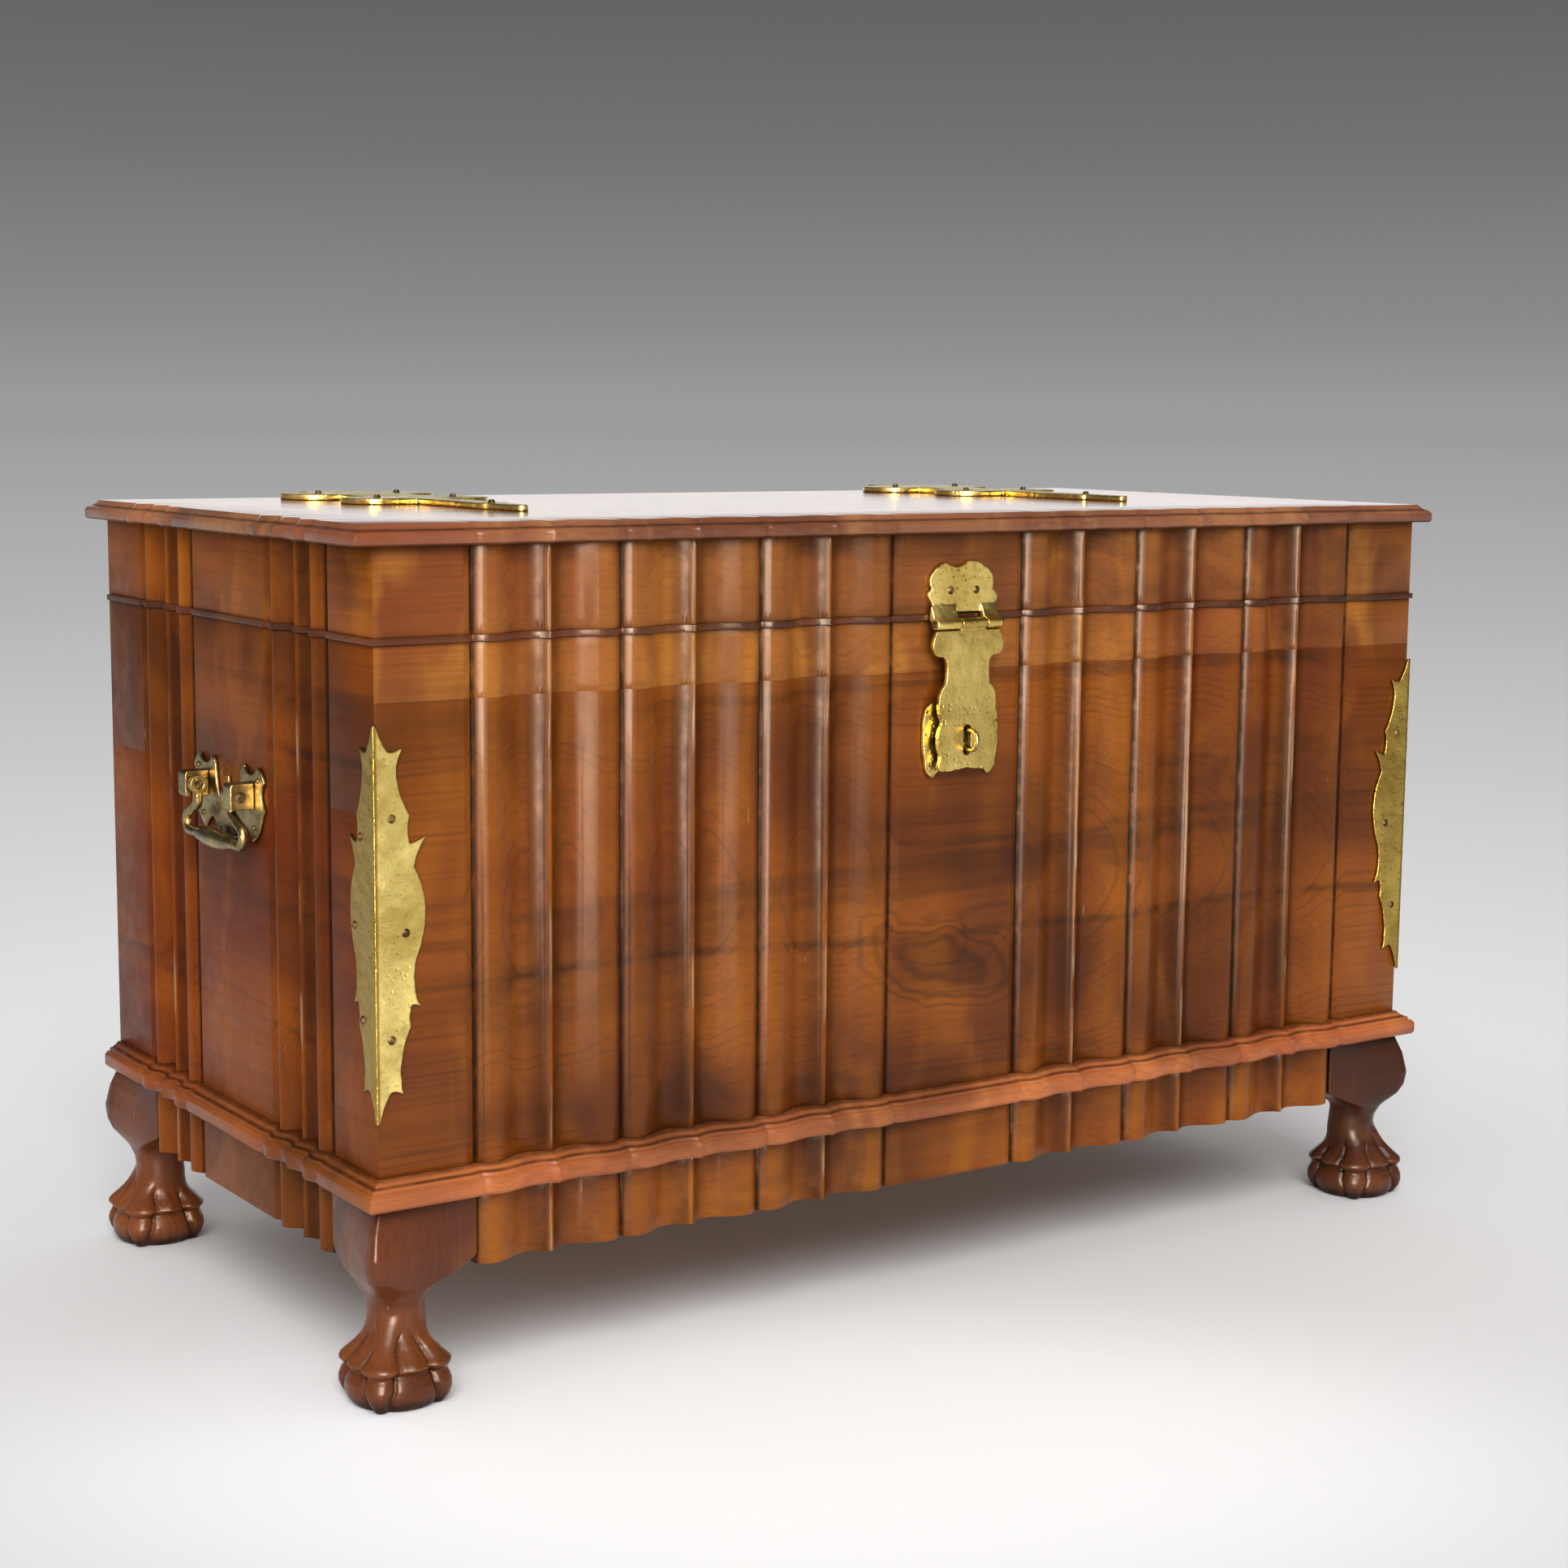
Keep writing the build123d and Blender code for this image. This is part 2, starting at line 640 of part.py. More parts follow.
def strap_outline():
    """Plan of a strap forwards from its back end: four lobes, a neck, a knop and a finial."""
    shape = Pos(0, -(strap_body + strap_root) / 2) * Rectangle(strap_width, strap_body - strap_root)
    shape += Pos(0, -strap_root) * Rectangle(hinge_width, 2 * strap_root)
    for back, aside, radius in strap_lobes:
        for side in (-1, 1):
            shape += Pos(side * aside, -back) * Circle(radius)
    knop = strap_length - knop_back
    tip = strap_length - finial_radius
    half_neck = knop_radius - 2
    neck = [(half_neck, -strap_body + 8), (-half_neck, -strap_body + 8), (-half_neck, -knop),
            (-finial_radius - 3, -knop - knop_radius), (-finial_radius, -tip), (finial_radius, -tip),
            (finial_radius + 3, -knop - knop_radius), (half_neck, -knop)]
    shape += make_face(Polyline(*neck, close=True).edges())
    shape += Pos(0, -knop) * Circle(knop_radius)
    return shape + Pos(0, -tip) * Circle(finial_radius)


def hinge_bore():
    return rod(-hinge_width, hinge_width, hinge_axis_y, split_height, hinge_pin_radius + pin_clearance)


def hinge_strap():
    """Strap over the lid, down behind its back edge and skirt to the two outer knuckles."""
    edge = half_depth + lid_back_overhang
    top = lid_top + hinge_top
    drop = [(edge - strap_root, lid_top), (edge, lid_top), (edge, lid_board_base),
            (half_depth, lid_board_base), (half_depth, split_height), (half_depth + plate, split_height),
            (half_depth + plate, lid_board_base - plate), (edge + plate, lid_board_base - plate),
            (edge + plate, top), (edge - strap_root, top)]
    body = Pos(0, edge + plate, lid_top) * extrude(strap_outline(), amount=hinge_top)
    body += slab(drop, -hinge_width / 2, hinge_width / 2)
    outer, middle = hinge_spans()
    gap = hinge_knuckle_gap
    body -= rod(middle[0] - gap, middle[1] + gap, hinge_axis_y, split_height, hinge_standoff)
    for start, end in outer:
        body += rod(start, end, hinge_axis_y, split_height, hinge_knuckle)
    return body - hinge_bore()


def hinge_leaf():
    """Lobed leaf on the back of the case with the middle knuckle."""
    top = split_height - hinge_standoff - 0.5
    edge = hinge_width / 2
    low = top - hinge_leaf_length
    half = [(0, low, 1.5), (7, low + 8, 1.5), (5, low + 16, -1.5), (16, low + 24, 2.5),
            (20, low + 38, 2.5), (12, low + 48, -1.5), (10, low + 60, -2.5), (edge, top - 30, 0),
            (edge, top, 0), (0, top, 0)]
    start, end = hinge_spans()[1]
    outline = mirrored(half)
    neck = Rectangle(end - start, split_height - top + 2)
    outline += Pos((start + end) / 2, (split_height + top - 2) / 2) * neck
    plane = Plane(origin=(0, half_depth + plate, 0), x_dir=(1, 0, 0), z_dir=(0, -1, 0))
    body = extrude(plane * outline, amount=plate)
    body += rod(start, end, hinge_axis_y, split_height, hinge_knuckle)
    return body - hinge_bore()


def hinges():
    """Two strap hinges, left and right of the middle, with their pins and nails."""
    strap = hinge_strap()
    leaf = hinge_leaf()
    pin = riveted(-hinge_width / 2, hinge_width / 2, hinge_axis_y, split_height, hinge_pin_radius)
    back = half_depth + lid_back_overhang + plate
    nail_places = [(side * aside, along) for along, aside, _ in strap_lobes for side in (-1, 1)]
    nail_places.append((0, strap_length - knop_back))
    lid_nails = [head((x, back - along, lid_top + hinge_top), (0, 0, 1), nail_radius, dome_height)
                 for x, along in nail_places]
    top = split_height - hinge_standoff - 0.5
    case_nails = [head((x, half_depth + plate, top - down), (0, 1, 0), nail_radius, nail_height)
                  for x, down in ((-13, 15), (13, 15), (0, hinge_leaf_length - 34))]
    places = [Pos(side * (half_width - hinge_inset), 0, 0) for side in (-1, 1)]
    return {
        "hinge_strap_left": places[0] * strap,
        "hinge_strap_right": places[1] * strap,
        "hinge_leaf_left": places[0] * leaf,
        "hinge_leaf_right": places[1] * leaf,
        "hinge_pins": [place * pin for place in places],
        "hinge_strap_nails": [place * nail for place in places for nail in lid_nails],
        "hinge_leaf_nails": [place * nail for place in places for nail in case_nails],
    }


# ------------------------------------------------------------------ bail handles
def handle_plate():
    """Bat-wing plate on the left side, its wings cut into leaf tips."""
    half = [(0, -37, 1.5), (20, -33, -1), (30, -25, -2), (44, -35, 2.5), (60, -19, -1), (67, -10, -1.5),
            (60, 1, -1.5), (66, 11, 1.5), (54.5, 22, -2), (42, 16, -2), (30.5, 22, 1.5), (24, 14, -1.5),
            (17, -9, -1), (8, -3, -2), (0, 13, 0)]
    outline = mirrored([(y, handle_level + up, bow) for y, up, bow in half])
    return left_sheet(outline, handle_sheet)


def handle_post(side):
    """Square post with a hole for the pin, its outer edges eased."""
    block = Box(post_depth, post_width, post_height)
    block = fillet(block.edges().filter_by(Axis.Y).sort_by(Axis.X)[:2], post_round)
    middle = -half_width - handle_sheet - post_depth / 2
    post = Pos(middle, side * handle_post_spread, handle_level) * block
    return post - handle_rod(handle_pin_radius + pin_clearance, side * handle_post_spread, post_width + 2)


def handle_rod(radius, y, length):
    """A round bar along Y on the pivot of the left bail."""
    return Pos(bail_axis_x, y, handle_level) * Rot(90, 0, 0) * Cylinder(radius, length)


def handle_pin(side):
    """Pin through a post and an eye of the bail, with a domed head outside."""
    inner = bail_eye_y - bail_eye_width / 2
    outer = handle_post_spread + post_width / 2
    pin = handle_rod(handle_pin_radius, side * (inner + outer) / 2, outer - inner)
    return pin + head((bail_axis_x, side * outer, handle_level), (0, side, 0), pin_head_radius, dome_height)


def bail():
    """Swan-necked bail of the left handle with a swelling grip, hanging from its eyes."""
    low = handle_level - bail_drop
    half = [(bail_half_width - 7, low), (bail_half_width, low + 10.5), (bail_eye_y, handle_level - 15),
            (bail_eye_y, handle_level - 4)]
    route = [(-y, z) for y, z in reversed(half)] + half
    upright = Plane(origin=(bail_axis_x, 0, 0), x_dir=(0, 1, 0), z_dir=(1, 0, 0))
    line = upright * FilletPolyline(*route, radius=(5, 7, 5, 5, 7, 5))
    body = sweep(Plane(origin=line @ 0, z_dir=line % 0) * Circle(bail_wire), path=line)
    end_radius = bail_wire * 0.8
    corners = [(-grip_half_length, 0), (-grip_half_length, end_radius), (grip_half_length, end_radius),
               (grip_half_length, 0)]
    outline = [Line(corners[0], corners[1]), ThreePointArc(corners[1], (0, grip_radius), corners[2]),
               Line(corners[2], corners[3]), Line(corners[3], corners[0])]
    body += Pos(bail_axis_x, 0, low) * Rot(0, 0, 90) * revolve(make_face(outline), axis=Axis.X)
    for side in (-1, 1):
        body += handle_rod(bail_eye_radius, side * bail_eye_y, bail_eye_width)
        body -= handle_rod(handle_pin_radius + pin_clearance, side * bail_eye_y, bail_eye_width + 2)
    return body


def handles():
    """Plates, posts, pins, nails and bails of the two lifting handles."""
    plates = both_sides(handle_plate())
    bails = both_sides(bail())
    posts = [both_sides(handle_post(side)) for side in (-1, 1)]
    face = -half_width - handle_sheet
    nails = [head((face, side * y, handle_level + up), (-1, 0, 0), small_nail_radius, nail_height)
             for side in (-1, 1) for y, up in ((56, 12), (48, -24))]
    return {
        "handle_plate_left": plates[0],
        "handle_plate_right": plates[1],
        "handle_posts_left": [left for left, _ in posts],
        "handle_posts_right": [right for _, right in posts],
        "handle_pins": [pin for side in (-1, 1) for pin in both_sides(handle_pin(side))],
        "handle_nails": [item for nail in nails for item in both_sides(nail)],
        "bail_left": bails[0],
        "bail_right": bails[1],
    }


# ------------------------------------------------------------------ handing in
def save(nodes):
    """Write each node as one STEP file; a list is a group of separate solids."""
    os.makedirs("parts", exist_ok=True)
    for name, shape in nodes.items():
        solids = shape if isinstance(shape, list) else [shape]
        solids = [solid for item in solids for solid in (centring * item).solids()]
        export_step(Compound(children=solids) if len(solids) > 1 else solids[0], f"parts/{name}.step")


def build():
    nodes = {}
    for make in (case_boards, base_frame, aprons, legs, lid_boards, corner_mounts, hasp, hinges, handles):
        nodes.update(make())
    save(nodes)


if __name__ == "__main__":
    build()
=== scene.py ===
import math

import bmesh
import bpy
import numpy as np
from mathutils import Matrix, Vector, noise


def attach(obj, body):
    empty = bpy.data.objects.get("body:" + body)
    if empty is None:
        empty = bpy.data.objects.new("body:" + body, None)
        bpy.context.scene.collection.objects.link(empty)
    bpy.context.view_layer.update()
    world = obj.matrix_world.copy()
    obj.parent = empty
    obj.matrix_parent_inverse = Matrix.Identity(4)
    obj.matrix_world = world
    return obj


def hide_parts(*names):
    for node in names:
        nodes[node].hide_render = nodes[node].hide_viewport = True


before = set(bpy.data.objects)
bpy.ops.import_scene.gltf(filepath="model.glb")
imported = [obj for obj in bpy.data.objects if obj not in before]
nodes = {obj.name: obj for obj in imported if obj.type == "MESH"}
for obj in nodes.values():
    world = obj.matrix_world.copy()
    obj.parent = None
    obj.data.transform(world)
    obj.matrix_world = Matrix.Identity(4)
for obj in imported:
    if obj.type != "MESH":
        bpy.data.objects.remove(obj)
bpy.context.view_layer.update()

# Metres, +Z up, front towards -Y.
CASE_Y = 0.00525                        # middle of the case in depth
HALF_WIDTH, HALF_DEPTH = 0.500, 0.246   # over the flat panels
LEG_HEIGHT = 0.147
FRONT_FACE = (0.064, 0.120, 0.424)      # first groove from the middle, spacing, last groove
SIDE_FACE = (0.075, 0.092, 0.167)
FRONT_SKIN = (0.222, 0.226)             # depth from the middle at which the carved face begins
SIDE_SKIN = (0.480, 0.484)
BASE_QUIRKS = ((0.1628, 0.0008), (0.1665, 0.0012))      # level, half width
LID_QUIRKS = ((0.6147, 0.0009), (0.6045, 0.0007))
LID_UNDERSIDE = 0.606
PIN_BORE = 0.00195                      # radius of the hasp's knuckles inside
SHARP_EDGE = 0.45                       # angle in radians from which an arris is eased
VIEW_AZIMUTH = math.radians(34.39)      # way the camera looks, from +Y towards +X
FLOOR_RADIUS, FAR_FLOOR = 120.0, 60.0
RINGS_PER_METRE = 190.0


# ------------------------------------------------------------------ colours and node trees
def paint(red, green, blue):
    """Scene-linear colour from 0 to 255 display values."""
    def linear(value):
        value /= 255
        return value / 12.92 if value <= 0.04045 else ((value + 0.055) / 1.055) ** 2.4
    return (linear(red), linear(green), linear(blue), 1.0)


# Dark of dirt and painted shade in grooves, corners and creases.
DIRT_AND_SHADE = paint(24, 12, 7)
RUBBED = paint(188, 152, 118)
KNOCKED = paint(206, 158, 108)
WHITE = (1.0, 1.0, 1.0, 1.0)


class Shader:
    """The nodes of a material or world: each method adds a node and returns its result."""

    def __init__(self, owner):
        self.owner = owner
        owner.use_nodes = True
        self.tree = owner.node_tree
        self.tree.nodes.clear()

    def add(self, kind, values=None, **settings):
        node = self.tree.nodes.new("ShaderNode" + kind)
        for key, value in settings.items():
            setattr(node, key, value)
        for key, value in (values or {}).items():
            self.feed(node.inputs[key], value)
        return node

    def feed(self, socket, value):
        if isinstance(value, bpy.types.NodeSocket):
            self.tree.links.new(value, socket)
        else:
            socket.default_value = value

    def math(self, operation, first, second=0.0, clamp=False):
        node = self.add("Math", {0: first, 1: second}, operation=operation, use_clamp=clamp)
        return node.outputs[0]

    def bell(self, value):
        """One where the value is 0, falling to 0 on both sides."""
        return self.math("EXPONENT", self.math("MULTIPLY", self.square(value), -1.0))

    def square(self, value):
        return self.math("MULTIPLY", value, value)

    def scaled_sum(self, first, a, second, b):
        return self.math("ADD", self.math("MULTIPLY", first, a), self.math("MULTIPLY", second, b))

    def ramp(self, value, start, end, low=0.0, high=1.0, smooth=True):
        node = self.add("MapRange", {"Value": value, "From Min": start, "From Max": end,
                                     "To Min": low, "To Max": high},
                        interpolation_type="SMOOTHSTEP" if smooth else "LINEAR")
        return node.outputs[0]

    def mix(self, share, first, second, blend="MIX"):
        node = self.add("Mix", {0: share, 6: first, 7: second}, data_type="RGBA", blend_type=blend)
        return node.outputs[2]

    def vector(self, x, y, z):
        return self.add("CombineXYZ", {0: x, 1: y, 2: z}).outputs[0]

    def stretch(self, vector, scale):
        node = self.add("VectorMath", {0: vector, 1: scale}, operation="MULTIPLY")
        return node.outputs[0]

    def noise(self, vector, scale, detail=3.0, roughness=0.5, distortion=0.0):
        node = self.add("TexNoise", {"Vector": vector, "Scale": scale, "Detail": detail,
                                     "Roughness": roughness, "Distortion": distortion})
        return node.outputs[0]

    def cells(self, vector, scale, smoothness=0.6):
        node = self.add("TexVoronoi", {"Vector": vector, "Scale": scale, "Smoothness": smoothness},
                        feature="SMOOTH_F1")
        return node.outputs[0]

    def tones(self, value, steps):
        """A grey read off a list of (place from 0 to 1, tone)."""
        node = self.add("ValToRGB", {0: value})
        elements = node.color_ramp.elements
        for position, _ in steps[1:-1]:
            elements.new(position)
        for element, (position, tone) in zip(sorted(elements, key=lambda e: e.position), steps):
            element.position = position
            element.color = (tone, tone, tone, 1.0)
        return node.outputs[0]

    def bump(self, height, distance, strength=1.0, normal=None):
        node = self.add("Bump", {"Height": height, "Distance": distance, "Strength": strength})
        if normal is not None:
            self.feed(node.inputs["Normal"], normal)
        return node.outputs[0]

    def eye(self):
        """One for rays that show the backdrop: seen, mirrored or through glass."""
        path = self.add("LightPath").outputs
        seen = self.math("MAXIMUM", path["Is Camera Ray"], path["Is Glossy Ray"])
        return self.math("MAXIMUM", seen, path["Is Transmission Ray"])

    def surface(self, shader, output="OutputMaterial"):
        self.add(output, {"Surface": shader})
        return self.owner


def new_material(name):
    return Shader(bpy.data.materials.new(name))


def wave_shades(s, along, face):
    """Dirt and painted shade in grooves, painted shade in the hollows beside noses, wear on noses and
    shoulders, and the nose lines, 0 to 1.
    """
    first, width, end = face
    away = s.math("ABSOLUTE", along)
    inside = s.ramp(away, end + 0.007, end + 0.006, smooth=False)
    groove = s.math("PINGPONG", s.math("SUBTRACT", away, first), width / 2)
    nose = s.math("SUBTRACT", width / 2, groove)
    waved = s.ramp(away, first, first + 0.003)
    # Painted shade: the hollows beside each nose are darkened.
    hollow = s.math("MULTIPLY", s.ramp(nose, 0.0012, 0.0035), s.ramp(nose, 0.020, 0.006))
    hollow = s.math("MULTIPLY", hollow, s.math("MULTIPLY", waved, 0.50))
    # The grooves are darkened, partly as dirt and partly as painted shade.
    dirt_and_shade = s.math("MAXIMUM", s.ramp(groove, 0.0030, 0.0008, 0.0, 0.95), hollow)
    shoulder = s.math("MULTIPLY", s.ramp(groove, 0.005, 0.009), s.ramp(groove, 0.030, 0.012))
    worn = s.math("MAXIMUM", s.ramp(nose, 0.0022, 0.0006), s.math("MULTIPLY", shoulder, 0.7))
    carved = s.math("MULTIPLY", inside, waved)
    edge = s.ramp(nose, 0.0016, 0.0004)
    return (s.math("MULTIPLY", dirt_and_shade, inside), s.math("MULTIPLY", worn, carved),
            s.math("MULTIPLY", edge, carved))


def swirl_distance(s, place, along, across, swirl):
    """Squared distance from a swirl in the figure, measured in the swirl's own widths."""
    drift = s.math("MULTIPLY", s.math("SUBTRACT", s.noise(place, 22.0, 1.0), 0.5), 1.5)
    x = s.math("DIVIDE", s.math("SUBTRACT", along, swirl["along"]), swirl["length"])
    z = s.math("DIVIDE", s.math("SUBTRACT", across, swirl["across"]), swirl["width"])
    x, z = s.math("ADD", x, s.math("MULTIPLY", z, 0.45)), s.math("ADD", z, drift)
    return s.math("ADD", s.square(x), s.square(z))


def growth_rings(s, grain, pith, tilt, bulge):
    """Ring lines on a board, how uneven they are, and how the grain sways. bulge lifts the pith."""
    along, into, across = grain
    wander = s.noise(s.stretch(s.vector(*grain), (2.2, 7, 7)), 1.0, 2.0)
    sway = s.math("MULTIPLY", s.math("SUBTRACT", wander, 0.5), 0.050)
    depth = s.math("ADD", s.math("SUBTRACT", into, pith[0]), bulge)
    height = s.math("ADD", s.math("SUBTRACT", across, pith[1]), s.math("MULTIPLY", along, tilt))
    height = s.math("ADD", height, sway)
    radius = s.math("SQRT", s.math("ADD", s.square(depth), s.square(height)))
    turns = s.scaled_sum(radius, RINGS_PER_METRE, wander, 2.0)
    uneven = s.noise(s.vector(turns, along, 0.0), 0.55, 2.0, 0.7)
    line = s.ramp(s.math("PINGPONG", turns, 0.5), 0.30, 0.50)
    return s.math("MULTIPLY", line, s.ramp(uneven, 0.42, 0.62)), uneven, sway


def timber_colour(s, board, clouds, tones, line, rings, figure, streaks):
    """Clouds, red and golden figure, ring lines, dark bands and fibres of polished timber."""
    bands = s.noise(s.stretch(board, (1.1, 14, 24)), 1.0, 3.0, 0.55, 0.5)
    flame = s.noise(s.stretch(board, (20, 5, 8)), 1.0, 2.0, 0.5, 0.8)
    blush = s.noise(s.stretch(board, (2.4, 3, 5)), 1.0, 1.0)
    fibre = s.noise(s.stretch(board, (7, 380, 380)), 1.0, 3.0, 0.65)
    colour = s.mix(s.ramp(clouds, 0.37, 0.63), tones["dark"], tones["light"])
    colour = s.mix(s.ramp(blush, 0.46, 0.68, 0.0, 0.55), colour, tones["red"])
    colour = s.mix(s.math("MULTIPLY", s.ramp(flame, 0.46, 0.74), figure), colour, tones["gold"])
    colour = s.mix(s.math("MULTIPLY", line, rings), colour, tones["deep"])
    colour = s.mix(s.math("MULTIPLY", s.ramp(bands, 0.54, 0.70), streaks), colour, tones["deep"])
    return s.mix(s.ramp(fibre, 0.30, 0.60, 0.22, 0.0), colour, tones["deep"]), fibre


def dark_streak(s, grain, sway, uneven, streak):
    """Share of a dark line that runs the length of a board."""
    along, _, across = grain
    level = s.math("ADD", s.math("SUBTRACT", across, streak["level"]),
                   s.math("MULTIPLY", along, streak["tilt"]))
    level = s.math("DIVIDE", s.math("ADD", level, s.math("MULTIPLY", sway, 0.8)), streak["width"])
    return s.math("MULTIPLY", s.bell(level), s.ramp(uneven, 0.25, 0.60, 0.0, 0.55))


def face_wear(s, colour, place, split, axes, grooves, clouds, gold):
    """Golden wear and pale rubs on the wavy face. Returns the colour and the dirt and painted shade of
    its grooves and hollows.
    """
    on_side = axes[0] == "Y"
    along = s.math("SUBTRACT", split.outputs["Y"], CASE_Y) if on_side else split.outputs["X"]
    dirt_and_shade, worn, edge = wave_shades(s, along, grooves)
    outer = s.ramp(s.math("ABSOLUTE", split.outputs[axes[1]]), *(SIDE_SKIN if on_side else FRONT_SKIN))
    worn = s.math("MULTIPLY", s.math("MULTIPLY", worn, outer), s.ramp(clouds, 0.3, 0.6, 0.05, 0.25))
    colour = s.mix(worn, colour, gold)
    rubs = s.ramp(s.noise(s.stretch(place, (90, 90, 16)), 1.0, 2.0), 0.50, 0.66, 0.0, 0.6)
    rubs = s.math("MULTIPLY", s.math("MULTIPLY", rubs, outer), edge)
    return s.mix(rubs, colour, RUBBED), s.math("MULTIPLY", dirt_and_shade, outer)


def carving_wear(s, colour, spots, gold):
    """Dirt and painted shade in hollows and creases, and golden ridges, on carved work."""
    ridge = s.add("NewGeometry").outputs["Pointiness"]
    # Painted shade, with dirt: darker in recesses found by ambient occlusion.
    recess = s.add("AmbientOcclusion", {"Distance": 0.035}, samples=4).outputs["AO"]
    recess = s.math("MULTIPLY", s.ramp(recess, 0.85, 0.35, 0.0, 0.7),
                    s.ramp(spots, 0.3, 0.6, 0.6, 1.0))
    colour = s.mix(recess, colour, paint(34, 16, 9))
    colour = s.mix(s.ramp(ridge, 0.508, 0.57, 0.0, 0.40), colour, gold)
    # Painted shade, with dirt, in the hollow creases of the carving.
    return s.mix(s.ramp(ridge, 0.495, 0.43, 0.0, 0.90), colour, DIRT_AND_SHADE)


def wood(name, axes, pith, light, dark, tilt=0.03, streaks=0.5, figure=0.35, rings=0.16,
         grooves=None, polish=0.30, gloss=0.28, swirl=None, streak=None, carved=False, quirks=(),
         shiny_above=None):
    """French-polished fruitwood. axes: along the grain, into the board, across the grain.

    The growth rings run round a pith line at (into, across), so that they draw contours on carving.
    """
    s = new_material(name)
    place = s.add("TexCoord").outputs["Object"]
    split = s.add("SeparateXYZ", {0: place})
    grain = [split.outputs[axis] for axis in axes]
    board = s.vector(*grain)
    tones = {
        "light": paint(*light), "dark": paint(*dark), "deep": paint(*(c * 0.52 for c in dark)),
        "gold": paint(min(255, light[0] * 1.25), min(255, light[1] * 1.38), light[2] * 1.25),
        "red": paint(dark[0] * 1.12, dark[1] * 0.84, dark[2] * 0.72),
    }
    bulge = 0.0
    if swirl:
        far = swirl_distance(s, place, grain[0], grain[2], swirl)
        knot = s.math("EXPONENT", s.math("MULTIPLY", far, -1.0))
        bulge = s.math("MULTIPLY", knot, swirl["rise"])
    line, uneven, sway = growth_rings(s, grain, pith, tilt, bulge)
    clouds = s.noise(s.stretch(board, (4.0, 4, 7)), 1.0, 2.0)
    colour, fibre = timber_colour(s, board, clouds, tones, line, rings, figure, streaks)
    if swirl:
        colour = s.mix(s.ramp(knot, 0.25, 0.95, 0.0, 0.30), colour, tones["deep"])
        arcs = s.ramp(s.math("PINGPONG", s.math("MULTIPLY", far, 1.6), 0.5), 0.15, 0.48)
        arcs = s.math("MULTIPLY", arcs, s.ramp(knot, 0.02, 0.30, 0.0, 0.40))
        colour = s.mix(arcs, colour, tones["deep"])
    if streak:
        colour = s.mix(dark_streak(s, grain, sway, uneven, streak), colour, tones["deep"])

    # Painted shade, with dirt: darker where ambient occlusion finds corners and recesses.
    hollow = s.add("AmbientOcclusion", {"Distance": 0.018}, samples=4).outputs["AO"]
    grime_and_shade = s.ramp(hollow, 0.78, 0.30, 0.0, 0.8)
    if grooves:
        # Dirt and painted shade of the grooves and of the hollows beside the noses.
        colour, dirt_and_shade = face_wear(s, colour, place, split, axes, grooves, clouds, tones["gold"])
        grime_and_shade = s.math("MAXIMUM", grime_and_shade, dirt_and_shade)
    # Painted shade: dark lines along the quirks of the mouldings.
    for level, width in quirks:
        gap = s.math("DIVIDE", s.math("SUBTRACT", split.outputs["Z"], level), width)
        grime_and_shade = s.math("MAXIMUM", grime_and_shade, s.math("MULTIPLY", s.bell(gap), 0.75))
    spots = s.noise(place, 75.0, 3.0, 0.6)
    grime_and_shade = s.math("MULTIPLY", grime_and_shade, s.ramp(spots, 0.25, 0.6, 0.6, 0.95))
    # Dirt and painted shade darken the colour here.
    colour = s.mix(grime_and_shade, colour, DIRT_AND_SHADE)
    if carved:
        colour = carving_wear(s, colour, spots, tones["gold"])
    knocks = s.noise(s.stretch(place, (260, 260, 45)), 1.0, 1.0)
    places = s.ramp(s.noise(place, 9.0, 1.0), 0.50, 0.62)
    colour = s.mix(s.math("MULTIPLY", s.ramp(knocks, 0.76, 0.82, 0.0, 0.25), places), colour, KNOCKED)

    shine = s.ramp(grime_and_shade, 0.0, 0.8, polish, 0.0)
    if shiny_above:
        top = s.ramp(split.outputs["Z"], shiny_above - 0.001, shiny_above, 0.08, 1.0)
        shine = s.math("MULTIPLY", shine, top)
    relief = s.math("ADD", s.math("MULTIPLY", fibre, 0.35), spots)
    shade = s.add("BsdfPrincipled", {
        "Base Color": colour, "Roughness": s.ramp(spots, 0.3, 0.7, 0.30, 0.46),
        "Normal": s.bump(relief, 0.0004, 0.35), "Specular IOR Level": 0.06,
        "Coat Weight": shine, "Coat Roughness": gloss, "Coat IOR": 1.5,
        "Coat Normal": s.bump(s.noise(place, 38.0, 2.0), 0.0009, 0.35)})
    return s.surface(shade.outputs[0])


